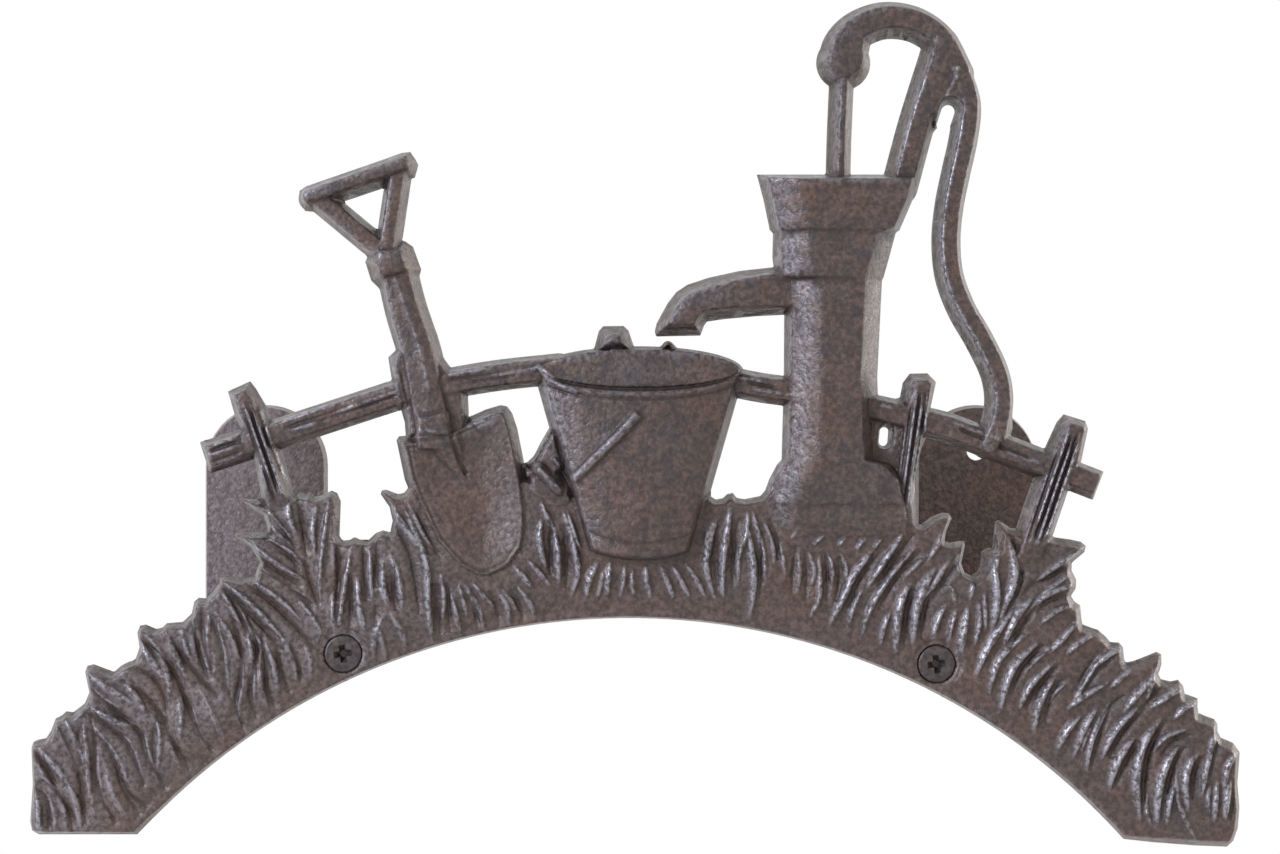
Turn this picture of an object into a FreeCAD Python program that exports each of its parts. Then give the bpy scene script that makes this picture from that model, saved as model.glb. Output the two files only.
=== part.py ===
import FreeCAD, Part
import math
import os
import Sketcher
from FreeCAD import Placement, Rotation, Vector

# Hose hanger: a cast relief plate on the front of an arched cast saddle, which two ears hold
# on the wall. Millimetres. X runs right as seen from the front, Z up, and the wall is the
# plane Y = 0 with the hanger on its -Y side. The origin lies midway between the wall holes.

doc = FreeCAD.newDocument("hose_hanger")
sheet = doc.addObject("Spreadsheet::Sheet", "sizes")

SIZES = (
    ("saddle_depth", 126.0, "wall to the back of the relief plate"),
    ("arch_radius", 209.0, "lower edge of the relief plate"),
    ("arch_drop", 51.6, "wall holes down to the crown of that edge"),
    ("saddle_rise", 16.0, "arch edge up to the underside of the saddle"),
    ("saddle_thick", 4.5, "wall of the saddle"),
    ("ear_width", 44.0, "wall ear"),
    ("ear_thick", 5.0, "wall ear"),
    ("ear_top", 16.4, "wall holes up to the top of the ears"),
    ("ear_draft", 12.0, "lean of the ear's flanks, in degrees"),
    ("ear_margin", 2.5, "outer flank of an ear to the end of the saddle"),
    ("ear_fillet", 3.0, "inside corner between ear and saddle"),
    ("cast_round", 1.2, "corners along the ends of the saddle"),
    ("hole_pitch", 255.0, "between the two wall holes"),
    ("hole_bore", 7.0, "wall hole"),
    ("hole_sink", 2.0, "bevel of the wall hole"),
    ("lug_width", 15.4, "rounded lug under the saddle"),
    ("lug_thick", 6.0, "rounded lug under the saddle"),
    ("screw_left", 89.5, "middle to the left plate screw"),
    ("screw_right", 96.3, "middle to the right plate screw"),
    ("screw_rise", 8.4, "arch edge up to the plate screws"),
    ("screw_bore", 6.0, "thread of the plate screws"),
    ("screw_play", 0.2, "clearance around the thread"),
    ("head_width", 12.0, "countersunk head"),
    ("head_rim", 0.4, "straight rim of the head"),
    ("head_sunk", 0.3, "head below the face of the plate"),
    ("head_gap", 0.3, "clearance around the rim of the head"),
    ("seat_play", 0.05, "countersink to the cone of the head"),
    ("recess_span", 6.8, "cross recess"),
    ("recess_width", 1.7, "cross recess"),
    ("recess_depth", 2.6, "cross recess"),
    ("screw_spare", 1.5, "thread beyond the nut"),
    ("nut_flats", 10.0, "nut"),
    ("nut_thick", 5.0, "nut"),
    ("nut_play", 0.05, "nut thread to screw thread"),
    ("plate_thick", 5.0, "ground of the relief plate"),
    ("blade_rise", 2.6, "ridges of the grass above the ground"),
    ("rail_width", 9.6, "fence rail"),
    ("rail_rise", 3.0, "fence rail above the ground"),
    ("post_rise", 4.2, "fence post above the ground"),
    ("shaft_width", 12.4, "shovel shaft"),
    ("grip_width", 10.4, "cross bar of the shovel"),
    ("leg_width", 8.0, "legs of the shovel's grip"),
    ("shaft_rise", 4.6, "shovel shaft above the ground"),
    ("shovel_rise", 2.6, "shovel blade above the ground"),
    ("shovel_dish", 1.0, "hollow of the shovel blade"),
    ("bucket_wall", 3.0, "flank of the bucket above the ground"),
    ("bucket_bulge", 10.0, "bucket above the ground"),
    ("bucket_mouth", 3.4, "depth of the bucket's mouth"),
    ("bail_width", 2.4, "wire of the bucket's bail"),
    ("hold_width", 8.4, "wooden hold of the bail"),
    ("pump_wall", 3.4, "flank of the pump above the ground"),
    ("pump_bulge", 9.0, "pump column above the ground"),
    ("piston_width", 8.0, "piston rod of the pump"),
    ("hook_width", 12.0, "hook over the piston rod"),
    ("handle_width", 9.2, "long handle of the pump"),
    ("lever_rise", 4.0, "hook and handle above the ground"),
    ("ball_radius", 8.3, "ball on the piston rod"),
)


def fill_sheet():
    """Write each driving size into the sheet with its alias and a note."""
    for row, (alias, value, note) in enumerate(SIZES, start=1):
        sheet.set("A%d" % row, alias)
        sheet.set("B%d" % row, str(value))
        sheet.set("C%d" % row, note)
        sheet.setAlias("B%d" % row, alias)
    doc.recompute()


fill_sheet()
size = {alias: float(getattr(sheet, alias)) for alias, value, note in SIZES}
arch_centre = -(size["arch_drop"] + size["arch_radius"])
plate_back = size["saddle_depth"]
plate_front = plate_back + size["plate_thick"]
underside = size["arch_radius"] + size["saddle_rise"]
sheet_middle = underside + size["saddle_thick"] / 2
saddle_half_span = (size["hole_pitch"] + size["ear_width"]) / 2 + size["ear_margin"]


def on_arch(x, radius):
    """The point at the side distance x on a circle about the centre of the arch."""
    return x, arch_centre + math.sqrt(radius ** 2 - x ** 2)


SCREW_SPOTS = (
    on_arch(-size["screw_left"], size["arch_radius"] + size["screw_rise"]),
    on_arch(size["screw_right"], size["arch_radius"] + size["screw_rise"]),
)


# Helpers for the bodies made from sketches

def new_body(name, label):
    body = doc.addObject("PartDesign::Body", name)
    body.Label = label
    return body


def plane_of(body, role):
    return next(item for item in body.Origin.OriginFeatures if item.Role == role)


def new_sketch(body, name, role="XZ_Plane", lift=""):
    """A sketch on a plane of the body. On XZ its x runs right, its y up, its normal off the wall."""
    sketch = body.newObject("Sketcher::SketchObject", name)
    sketch.AttachmentSupport = (plane_of(body, role), "")
    sketch.MapMode = "FlatFace"
    if lift:
        sketch.setExpression("AttachmentOffset.Base.z", lift)
    return sketch


def end_at(sketch, index, place):
    """Which end of a drawn curve lies at the place: 1 for its start, 2 for its end."""
    return 1 if sketch.getPoint(index, 1).distanceToPoint(place) < 1e-4 else 2


def draw_loop(sketch, pieces):
    """Add curves that follow one another, and tie each end to the next start."""
    first = len(sketch.Geometry)
    for piece in pieces:
        sketch.addGeometry(piece, False)
    count = len(pieces)
    joints = []
    for step in range(count):
        here = first + step
        after = first + (step + 1) % count
        meeting = pieces[step].EndPoint
        joints.append((here, end_at(sketch, here, meeting), after, end_at(sketch, after, meeting)))
    for joint in joints:
        sketch.addConstraint(Sketcher.Constraint("Coincident", *joint))


def line(start, end):
    return Part.LineSegment(Vector(start[0], start[1], 0), Vector(end[0], end[1], 0))


def arc_through(start, middle, end):
    """An arc that starts, passes and ends at the three points, whichever way it turns."""
    places = [Vector(x, y, 0) for x, y in (start, middle, end)]
    return Part.Arc(*places)


def ring(sketch, centre, radius, radius_rule, x_rule, y_value):
    """A circle whose radius and place follow the sheet."""
    index = sketch.addGeometry(Part.Circle(Vector(centre[0], centre[1], 0), Vector(0, 0, 1), radius))
    rule = sketch.addConstraint(Sketcher.Constraint("Radius", index, radius))
    sketch.setExpression("Constraints[%d]" % rule, radius_rule)
    rule = sketch.addConstraint(Sketcher.Constraint("DistanceX", -1, 1, index, 3, centre[0]))
    sketch.setExpression("Constraints[%d]" % rule, x_rule)
    sketch.addConstraint(Sketcher.Constraint("DistanceY", -1, 1, index, 3, y_value))
    return index


def pad(body, name, sketch, length_rule):
    feature = body.newObject("PartDesign::Pad", name)
    feature.Profile = sketch
    feature.setExpression("Length", length_rule)
    body.Tip = feature
    return feature


# The saddle: an arched sheet with two ears on the wall and two lugs for the plate's screws

# How far in the middle of a round corner lies, as a share of its radius
CORNER_MIDDLE = 1 - math.sqrt(0.5)


def circle_height(x, radius):
    return on_arch(x, radius)[1]


def draw_arched_sheet(sketch):
    """The end view of the saddle: two arcs about the centre of the arch, and ends with round corners."""
    outer = underside + size["saddle_thick"]
    corner = size["cast_round"]
    reach = math.asin(saddle_half_span / outer)
    turn = corner / sheet_middle

    def place(radius, angle):
        return radius * math.sin(angle), arch_centre + radius * math.cos(angle)

    def end_of(side):
        """Six places around one end, from the underside to the upper side."""
        edge = side * reach
        shallow = side * (reach - turn * CORNER_MIDDLE)
        near = side * (reach - turn)
        return [
            place(underside, near),
            place(underside + corner * CORNER_MIDDLE, shallow),
            place(underside + corner, edge),
            place(outer - corner, edge),
            place(outer - corner * CORNER_MIDDLE, shallow),
            place(outer, near),
        ]

    left = end_of(-1)
    right = end_of(1)
    draw_loop(sketch, [
        arc_through(left[5], (0, arch_centre + outer), right[5]),
        arc_through(right[5], right[4], right[3]),
        line(right[3], right[2]),
        arc_through(right[2], right[1], right[0]),
        arc_through(right[0], (0, arch_centre + underside), left[0]),
        arc_through(left[0], left[1], left[2]),
        line(left[2], left[3]),
        arc_through(left[3], left[4], left[5]),
    ])


def draw_ear(sketch, side):
    """One ear: a round top, and straight flanks that end inside the wall of the saddle."""
    half = size["ear_width"] / 2
    middle = side * size["hole_pitch"] / 2
    shoulder = size["ear_top"] - half
    left = middle - half
    right = middle + half
    left_foot = (left, circle_height(left, sheet_middle))
    right_foot = (right, circle_height(right, sheet_middle))
    mid_foot = (middle, circle_height(middle, sheet_middle))
    draw_loop(sketch, [
        line(left_foot, (left, shoulder)),
        arc_through((left, shoulder), (middle, size["ear_top"]), (right, shoulder)),
        line((right, shoulder), right_foot),
        arc_through(right_foot, mid_foot, left_foot),
    ])


def draw_lug(sketch, spot):
    """One lug: round about its screw, with parallel flanks up into the wall of the saddle."""
    half = size["lug_width"] / 2
    lean = math.atan2(spot[0], spot[1] - arch_centre)
    outward = (math.sin(lean), math.cos(lean))
    across = (math.cos(lean), -math.sin(lean))
    climb = sheet_middle - size["arch_radius"] - size["screw_rise"]

    def place(side, up):
        return (spot[0] + side * across[0] + up * outward[0],
                spot[1] + side * across[1] + up * outward[1])

    draw_loop(sketch, [
        line(place(-half, climb), place(-half, 0)),
        arc_through(place(-half, 0), place(0, -half), place(half, 0)),
        line(place(half, 0), place(half, climb)),
        line(place(half, climb), place(-half, climb)),
    ])


def round_edges(shape, radius, out):
    """Names of the circular edges of that radius that lie at the distance out from the wall."""
    names = []
    for number, edge in enumerate(shape.Edges, start=1):
        curve = edge.Curve
        if not isinstance(curve, Part.Circle):
            continue
        if abs(curve.Radius - radius) > 1e-4:
            continue
        if abs(edge.Vertexes[0].Y + out) < 1e-4:
            names.append("Edge%d" % number)
    return names


def build_saddle():
    body = new_body("Saddle", "saddle_bracket")

    arched = new_sketch(body, "ArchedSheet")
    draw_arched_sheet(arched)
    pad(body, "SheetPad", arched, "sizes.saddle_depth")

    ears = new_sketch(body, "EarOutlines")
    for side in (-1, 1):
        draw_ear(ears, side)
    ear_pad = pad(body, "EarPad", ears, "sizes.ear_thick")
    ear_pad.setExpression("TaperAngle", "-sizes.ear_draft")

    lugs = new_sketch(body, "LugOutlines", lift="sizes.saddle_depth - sizes.lug_thick")
    for spot in SCREW_SPOTS:
        draw_lug(lugs, spot)
    lug_pad = pad(body, "LugPad", lugs, "sizes.lug_thick")
    doc.recompute()

    corner = body.newObject("PartDesign::Fillet", "EarCorner")
    edges = round_edges(lug_pad.Shape, underside + size["saddle_thick"], size["ear_thick"])
    corner.Base = (lug_pad, edges)
    corner.setExpression("Radius", "sizes.ear_fillet")
    body.Tip = corner

    holes = new_sketch(body, "WallHoles")
    for side, rule in ((-1, "-sizes.hole_pitch / 2"), (1, "sizes.hole_pitch / 2")):
        centre = (side * size["hole_pitch"] / 2, 0)
        ring(holes, centre, size["hole_bore"] / 2, "sizes.hole_bore / 2", rule, 0)
    bore = body.newObject("PartDesign::Pocket", "WallBore")
    bore.Profile = holes
    bore.Reversed = True
    bore.setExpression("Length", "sizes.ear_thick")
    body.Tip = bore
    doc.recompute()

    bevel = body.newObject("PartDesign::Chamfer", "WallBevel")
    bevel.Base = (bore, round_edges(bore.Shape, size["hole_bore"] / 2, size["ear_thick"]))
    bevel.setExpression("Size", "sizes.hole_sink")
    body.Tip = bevel

    passages = new_sketch(body, "ScrewPassages", lift="sizes.saddle_depth - sizes.lug_thick")
    for spot, rule in zip(SCREW_SPOTS, ("-sizes.screw_left", "sizes.screw_right")):
        radius = size["screw_bore"] / 2 + size["screw_play"]
        ring(passages, spot, radius, "sizes.screw_bore / 2 + sizes.screw_play", rule, spot[1])
    passage = body.newObject("PartDesign::Pocket", "ScrewPassage")
    passage.Profile = passages
    passage.Reversed = True
    passage.setExpression("Length", "sizes.lug_thick")
    body.Tip = passage
    doc.recompute()
    return body


# The plate screws and their nuts

def placed_copies(name, label, source, out):
    """One solid for each screw, at the given distance from the wall."""
    copies = []
    for x, z in SCREW_SPOTS:
        copy = source.Shape.copy()
        copy.translate(Vector(x, -out, z))
        copies.append(copy)
    feature = doc.addObject("Part::Feature", name)
    feature.Label = label
    feature.Shape = Part.makeCompound(copies)
    feature.Placement = Placement(Vector(0, 0, 0), Rotation())
    return feature


def draw_cross(sketch):
    """The outline of a cross recess with square ends."""
    far = size["recess_span"] / 2
    near = size["recess_width"] / 2
    quarter = [(far, -near), (far, near), (near, near)]
    corners = []
    for turn in range(4):
        cosine = round(math.cos(turn * math.pi / 2))
        sine = round(math.sin(turn * math.pi / 2))
        for x, y in quarter:
            corners.append((x * cosine - y * sine, x * sine + y * cosine))
    draw_loop(sketch, [line(a, b) for a, b in zip(corners, corners[1:] + corners[:1])])


def build_screws():
    """A countersunk screw, turned about the Y axis with the face of its head at Y = 0."""
    body = new_body("ScrewBlank", "screw_blank")
    shank = size["screw_bore"] / 2
    head = size["head_width"] / 2
    rim = size["head_rim"]
    neck = rim + head - shank
    stack = size["plate_thick"] - size["head_sunk"] + size["lug_thick"] + size["nut_thick"]
    tip = stack + size["screw_spare"]
    bevel = shank / 5
    outline = [(0, 0), (head, 0), (head, rim), (shank, neck), (shank, tip - bevel),
               (shank - bevel, tip), (0, tip)]
    profile = new_sketch(body, "ScrewProfile", "XY_Plane")
    draw_loop(profile, [line(a, b) for a, b in zip(outline, outline[1:] + outline[:1])])
    turned = body.newObject("PartDesign::Revolution", "ScrewTurned")
    turned.Profile = profile
    turned.ReferenceAxis = (profile, ["V_Axis"])
    turned.Angle = 360
    body.Tip = turned

    cross = new_sketch(body, "CrossRecess")
    draw_cross(cross)
    recess = body.newObject("PartDesign::Pocket", "CrossPocket")
    recess.Profile = cross
    recess.setExpression("Length", "sizes.recess_depth")
    body.Tip = recess
    doc.recompute()
    return placed_copies("PlateScrews", "plate_screws", body, plate_front - size["head_sunk"])


def build_nuts():
    """A hexagon nut about the Y axis, its seat at Y = 0 and its body on the wall side."""
    body = new_body("NutBlank", "nut_blank")
    corner = size["nut_flats"] / math.sqrt(3)
    outline = []
    for step in range(6):
        angle = math.radians(60 * step)
        outline.append((corner * math.cos(angle), corner * math.sin(angle)))
    hexagon = new_sketch(body, "NutOutline")
    draw_loop(hexagon, [line(a, b) for a, b in zip(outline, outline[1:] + outline[:1])])
    radius = size["screw_bore"] / 2 + size["nut_play"]
    ring(hexagon, (0, 0), radius, "sizes.screw_bore / 2 + sizes.nut_play", "0", 0)
    block = pad(body, "NutPad", hexagon, "sizes.nut_thick")
    block.Reversed = True
    doc.recompute()
    return placed_copies("ScrewNuts", "screw_nuts", body, plate_back - size["lug_thick"])


# Helpers for the relief: a place is given across, up and out from the wall

DOME_SIDES = 16
# A blade's stations: share of its length, of its width and of its ridge
BLADE_FORM = ((0.0, 0.5, 0.1), (0.36, 1.0, 1.0), (0.72, 0.8, 0.9), (1.0, 0.2, 0.3))
STROKE_FORM = ((0.0, 0.4, 0.1), (0.5, 1.0, 1.0), (1.0, 0.2, 0.3))

def spot_at(x, z, out):
    return Vector(x, -out, z)


def inset(outline, step):
    """Move each corner of a closed outline inwards, so that each side moves in by the step."""
    pairs = list(zip(outline, outline[1:] + outline[:1]))
    turn = sum(a[0] * b[1] - b[0] * a[1] for a, b in pairs)
    way = 1 if turn > 0 else -1
    normals = []
    for a, b in pairs:
        run = math.dist(a, b)
        normals.append((-way * (b[1] - a[1]) / run, way * (b[0] - a[0]) / run))
    moved = []
    for index, (x, z) in enumerate(outline):
        before = normals[index - 1]
        after = normals[index]
        share = step / (1 + before[0] * after[0] + before[1] * after[1])
        moved.append((x + share * (before[0] + after[0]), z + share * (before[1] + after[1])))
    return moved


def is_flat(corners):
    a, b, c, d = corners
    return abs((b - a).cross(c - a).dot(d - a)) < 1e-7


def skin(sections):
    """A solid through sections of equal count: flat sides where they are flat, else two triangles."""
    outlines = [sections[0], sections[-1]]
    for lower, upper in zip(sections, sections[1:]):
        for index in range(len(lower)):
            after = (index + 1) % len(lower)
            corners = [lower[index], lower[after], upper[after], upper[index]]
            if is_flat(corners):
                outlines.append(corners)
            else:
                outlines.append(corners[:3])
                outlines.append([corners[0], corners[2], corners[3]])
    faces = [Part.Face(Part.makePolygon(places + places[:1])) for places in outlines]
    solid = Part.makeSolid(Part.makeShell(faces))
    if solid.Volume < 0:
        solid.reverse()
    return solid


def raised(outline, levels, start=plate_back):
    """A drafted slab: at each level its outline lies further out and is drawn in by the inset."""
    sections = []
    for out, step in ((0, 0),) + tuple(levels):
        corners = inset(list(outline), step) if step else list(outline)
        sections.append([spot_at(x, z, start + out) for x, z in corners])
    return skin(sections)


def slab(outline, back, front):
    """A flat piece with square flanks, between two distances from the wall."""
    places = [spot_at(x, z, back) for x, z in outline]
    face = Part.Face(Part.makePolygon(places + places[:1]))
    return face.extrude(Vector(0, back - front, 0))


# The section of a rod: share of its half width, and of its height
CROWN = ((-1.0, 0.0), (-0.64, 0.62), (-0.36, 0.92), (0.0, 1.0), (0.36, 0.92), (0.64, 0.62), (1.0, 0.0))


def rod(route, width, rise):
    """A cast rod: drafted flanks and a crown, along a straight or smoothly curved route."""
    top = size["plate_thick"] + rise
    half = width / 2
    if len(route) == 2:
        run = math.dist(route[0], route[1])
        along = Vector(route[1][0] - route[0][0], 0, route[1][1] - route[0][1]) / run
        stations = [(spot_at(x, z, plate_back), along) for x, z in route]
    else:
        curve = Part.BSplineCurve()
        curve.interpolate([spot_at(x, z, plate_back) for x, z in route])
        steps = (len(route) - 1) * 2
        stations = []
        for step in range(steps + 1):
            share = curve.FirstParameter
            share += (curve.LastParameter - curve.FirstParameter) * step / steps
            stations.append((curve.value(share), curve.tangent(share)[0]))
    sections = []
    for place, along in stations:
        across = Vector(-along.z, 0, along.x)
        sections.append([place + across * (side * half) + Vector(0, -lift * top, 0)
                         for side, lift in CROWN])
    return skin(sections)


def barrel(lower, upper, wall, bulge):
    """An upright rounded body between two levels, each given as middle, half width and height."""
    sections = []
    for middle, half, height in (lower, upper):
        top = size["plate_thick"] + bulge
        flank = size["plate_thick"] + wall
        places = []
        for side, out in ((-half, 0), (-half * 0.84, flank), (0, top), (half * 0.84, flank), (half, 0)):
            places.append(spot_at(middle + side, height, plate_back + out))
        sections.append(Part.Wire([
            Part.makeLine(places[0], places[1]),
            Part.Arc(places[1], places[2], places[3]).toShape(),
            Part.makeLine(places[3], places[4]),
            Part.makeLine(places[4], places[0]),
        ]))
    return Part.makeLoft(sections, True, True)


def dome(x, z, radius, rise):
    """A round boss with a drafted flank and a round crown."""
    corners = []
    for step in range(DOME_SIDES):
        angle = 2 * math.pi * step / DOME_SIDES
        corners.append((x + radius * math.cos(angle), z + radius * math.sin(angle)))
    top = size["plate_thick"] + rise
    levels = [(top * lift, radius * share) for share, lift in ((0.22, 0.6), (0.4, 0.84), (0.7, 1.0))]
    return raised(corners, levels)


def blade(root, tip, bow, width, foot, seat, rise, form=STROKE_FORM):
    """A blade of grass: a bowed leaf from foot to seat, with a ridge above the seat."""
    run = math.dist(root, tip)
    along = ((tip[0] - root[0]) / run, (tip[1] - root[1]) / run)
    sections = []
    for share, spread, lift in form:
        sag = 4 * bow * share * (1 - share)
        x = root[0] + along[0] * run * share - along[1] * sag
        z = root[1] + along[1] * run * share + along[0] * sag
        half = width / 2 * spread
        left = (x - along[1] * half, z + along[0] * half)
        right = (x + along[1] * half, z - along[0] * half)
        sections.append([
            spot_at(left[0], left[1], foot),
            spot_at(left[0], left[1], seat),
            spot_at(x, z, seat + rise * lift),
            spot_at(right[0], right[1], seat),
            spot_at(right[0], right[1], foot),
        ])
    return skin(sections)


# The ground of the plate: its foliage border through the notches between the blade tips

GROUND = (
    (-154.0, -119.6), (-185.5, -119.6), (-188.2, -117.0), (-188.2, -110.0), (-187.0, -93.0),
    (-181.0, -89.5), (-169.5, -79.0), (-161.0, -70.5), (-153.5, -65.0), (-146.0, -58.0),
    (-138.0, -53.0), (-131.0, -47.0), (-118.0, -41.0), (-104.0, -31.0), (-96.0, -27.5),
    (-82.0, -28.0), (-75.0, -25.5), (-68.0, -13.0), (-31.0, -9.0), (-22.0, -15.0),
    (42.0, -14.5), (46.0, -3.5), (80.0, -4.0), (88.5, -20.0), (99.0, -28.5), (104.7, -37.5),
    (110.2, -37.5), (114.0, -31.0), (121.0, -24.0), (133.0, -28.0), (138.5, -36.5),
    (139.0, -45.5), (142.5, -54.5), (151.0, -60.5), (156.0, -66.5), (166.3, -72.0),
    (174.5, -78.0), (179.0, -84.0), (185.0, -90.0), (191.5, -94.0), (191.5, -119.0),
    (188.5, -123.6), (152.0, -120.2),
)


def build_ground():
    return slab(list(GROUND), plate_back, plate_front)


# The fence behind the tools

LEFT_POST = ((-126.0, 19.7), (-119.0, 22.9), (-113.5, 14.0), (-105.5, -12.0), (-101.0, -36.0),
             (-111.0, -38.0), (-117.5, -2.0), (-123.8, 12.0))
MIDDLE_POST = ((-75.8, 30.3), (-72.0, 33.8), (-58.0, 30.0), (-52.0, 17.0), (-50.0, 8.0),
               (-52.0, -8.0), (-66.0, -8.0), (-70.2, 10.0), (-74.6, 24.0))
INNER_POST = ((86.3, 23.0), (88.4, 25.3), (94.0, 25.3), (96.6, 22.5), (94.4, 13.0), (89.8, -6.0),
              (89.6, -26.0), (81.5, -26.0), (81.8, -4.0), (84.0, 12.0))
OUTER_POST = ((135.0, 10.4), (137.0, 12.4), (143.4, 10.4), (144.4, 8.2), (142.0, -3.0),
              (138.4, -11.0), (133.5, -26.0), (129.0, -38.0), (116.0, -38.0), (124.2, -15.0),
              (130.6, 1.0))
PUMP_WEB = ((74.0, 18.0), (88.0, 17.0), (86.0, -8.0), (74.0, -8.0))
WEB_HOLE = (80.0, 5.5)
WEB_HOLE_WIDTH = 2.7
WEB_HOLE_HEIGHT = 6.2
RAILS = (
    ((-133.0, -1.0), (-66.0, 20.7)),
    ((-62.0, 21.6), (-24.0, 26.8)),
    ((30.0, 22.6), (56.0, 18.9)),
    ((74.0, 15.0), (100.0, 8.3)),
    ((99.0, 8.7), (147.6, -10.0)),
)
POST_RIDGES = (
    ((-108.0, -20.0), (-122.6, 18.0)), ((-105.4, -20.0), (-118.4, 19.5)),
    ((85.0, -18.0), (90.2, 22.5)), ((88.0, -18.0), (93.4, 22.0)),
    ((124.6, -28.0), (137.6, 8.0)), ((128.2, -28.0), (141.0, 7.0)),
)
RIDGE_WIDTH = 2.6
RIDGE_RISE = 1.0
# How far a drafted flank has come in at its shoulder and at its top
POST_SHOULDER = 1.3
POST_TOP = 2.4
MIDDLE_TOP = 1.8
# How deep a ridge or crease sits in the face that carries it
BITE = 0.3


def build_fence():
    pieces = []
    top = size["plate_thick"] + size["post_rise"]
    for outline in (LEFT_POST, INNER_POST, OUTER_POST):
        pieces.append(raised(outline, ((top * 0.75, POST_SHOULDER), (top, POST_TOP))))
    pieces.append(raised(MIDDLE_POST, ((size["plate_thick"] + size["rail_rise"], MIDDLE_TOP),)))
    pieces.append(slab(list(PUMP_WEB), plate_back, plate_front))
    for start, end in RAILS:
        pieces.append(rod((start, end), size["rail_width"], size["rail_rise"]))
    for root, tip in POST_RIDGES:
        seat = plate_back + top - BITE
        pieces.append(blade(root, tip, 0, RIDGE_WIDTH, plate_front, seat, RIDGE_RISE))
    return pieces


def build_web_hole():
    half = WEB_HOLE_WIDTH / 2
    rise = (WEB_HOLE_HEIGHT - WEB_HOLE_WIDTH) / 2
    x, z = WEB_HOLE
    places = [spot_at(x + side * half, z + up * rise, plate_back)
              for side, up in ((-1, -1), (-1, 1), (1, 1), (1, -1))]
    top = spot_at(x, z + rise + half, plate_back)
    bottom = spot_at(x, z - rise - half, plate_back)
    edge = Part.Wire([
        Part.makeLine(places[0], places[1]),
        Part.Arc(places[1], top, places[2]).toShape(),
        Part.makeLine(places[2], places[3]),
        Part.Arc(places[3], bottom, places[0]).toShape(),
    ])
    return Part.Face(edge).extrude(Vector(0, -size["plate_thick"] * 3, 0))


# The shovel that leans on the fence

GRIP_BAR = ((-102.3, 79.7), (-67.3, 90.8))
GRIP_LEGS = (((-96.5, 79.5), (-78.0, 61.5)), ((-72.3, 88.0), (-75.5, 60.0)))
FERRULE = ((-82.7, 60.5), (-80.2, 66.5), (-70.4, 66.8), (-67.8, 65.0), (-65.3, 58.0),
           (-66.2, 54.6), (-77.5, 51.0), (-80.8, 54.6))
SHAFT = ((-74.0, 60.0), (-70.0, 45.5), (-66.2, 33.0), (-62.6, 19.0), (-60.4, 3.0))
SOCKET = ((-70.6, 17.5), (-57.4, 19.5), (-52.5, 2.5), (-70.6, 3.5))
SHOVEL = ((-73.0, 4.6), (-70.2, -8.0), (-67.5, -14.5), (-61.2, -28.0), (-53.6, -36.3),
          (-44.0, -39.8), (-36.2, -36.3), (-31.6, -29.0), (-30.9, -18.0), (-32.0, -6.0),
          (-35.2, 8.0), (-37.0, 13.4), (-40.2, 15.2), (-50.0, 12.4), (-57.0, 9.0))
SHOVEL_CREASES = (((-48.0, -16.0), (-56.5, 16.0)), ((-58.5, -18.0), (-62.5, 4.0)))
SHOVEL_DRAFT = 2.2
SHOVEL_LIP = 1.2
CREASE_WIDTH = 5.0
CREASE_RISE = 1.5
BAND_RISE = 1.0
BAND_STEPS = (2.0, 3.6)
SOCKET_DROP = 0.5
SOCKET_STEPS = (1.0, 2.6)


def build_shovel():
    ground = size["plate_thick"]
    face = ground + size["shovel_rise"]
    pieces = [
        rod(GRIP_BAR, size["grip_width"], size["shaft_rise"]),
        rod(SHAFT, size["shaft_width"], size["shaft_rise"]),
    ]
    for leg in GRIP_LEGS:
        pieces.append(rod(leg, size["leg_width"], size["rail_rise"]))
    band = ground + size["shaft_rise"] + BAND_RISE
    pieces.append(raised(FERRULE, ((band * 0.7, BAND_STEPS[0]), (band, BAND_STEPS[1]))))
    socket_top = band - SOCKET_DROP
    pieces.append(raised(SOCKET, ((band * 0.7, SOCKET_STEPS[0]), (socket_top, SOCKET_STEPS[1]))))
    scoop = raised(SHOVEL, ((face, SHOVEL_DRAFT),))
    dish = inset(list(SHOVEL), SHOVEL_DRAFT + SHOVEL_LIP)
    hollow = plate_back + face - size["shovel_dish"]
    scoop = scoop.cut(slab(dish, hollow, plate_back + face))
    pieces.append(scoop)
    for root, tip in SHOVEL_CREASES:
        pieces.append(blade(root, tip, 0, CREASE_WIDTH, plate_front, hollow - BITE, CREASE_RISE))
    return pieces


# The bucket under the spout

BUCKET_LOW = (3.7, 16.9, -35.5)
BUCKET_HIGH = (4.6, 33.2, 27.5)
BUCKET_SOLE = -34.4
BUCKET_SOLE_RADIUS = 41.4
BUCKET_SOLE_MIDDLE = 3.7
MOUTH_LEFT = (-29.0, 24.0)
MOUTH_RIGHT = (37.2, 25.3)
MOUTH_TOP = (4.0, 33.6)
MOUTH_LOW = (4.0, 17.6)
MOUTH_LIP = 3.1
MOUTH_LEAN = 0.4
RIM_DROP = 1.2
BUCKET_LUG_STEPS = (1.5, 2.4)
BAIL_DROP = 0.6
BUCKET_LUG = ((-11.2, 31.0), (-8.8, 40.2), (-0.8, 40.2), (1.9, 32.0))
BAIL = (((2.6, 12.6), (-18.0, -8.0)), ((-29.6, -2.6), (-24.6, 6.6)))
BAIL_HOLD = ((-17.6, -11.8), (-29.8, -2.0))


def lens(left, right, top, low, back, front):
    """A lens between two arcs that share their ends, from back to front."""
    corners = [spot_at(x, z, back) for x, z in (left, top, right, low)]
    edge = Part.Wire([
        Part.Arc(corners[0], corners[1], corners[2]).toShape(),
        Part.Arc(corners[2], corners[3], corners[0]).toShape(),
    ])
    return Part.Face(edge).extrude(Vector(0, back - front, 0))


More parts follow.
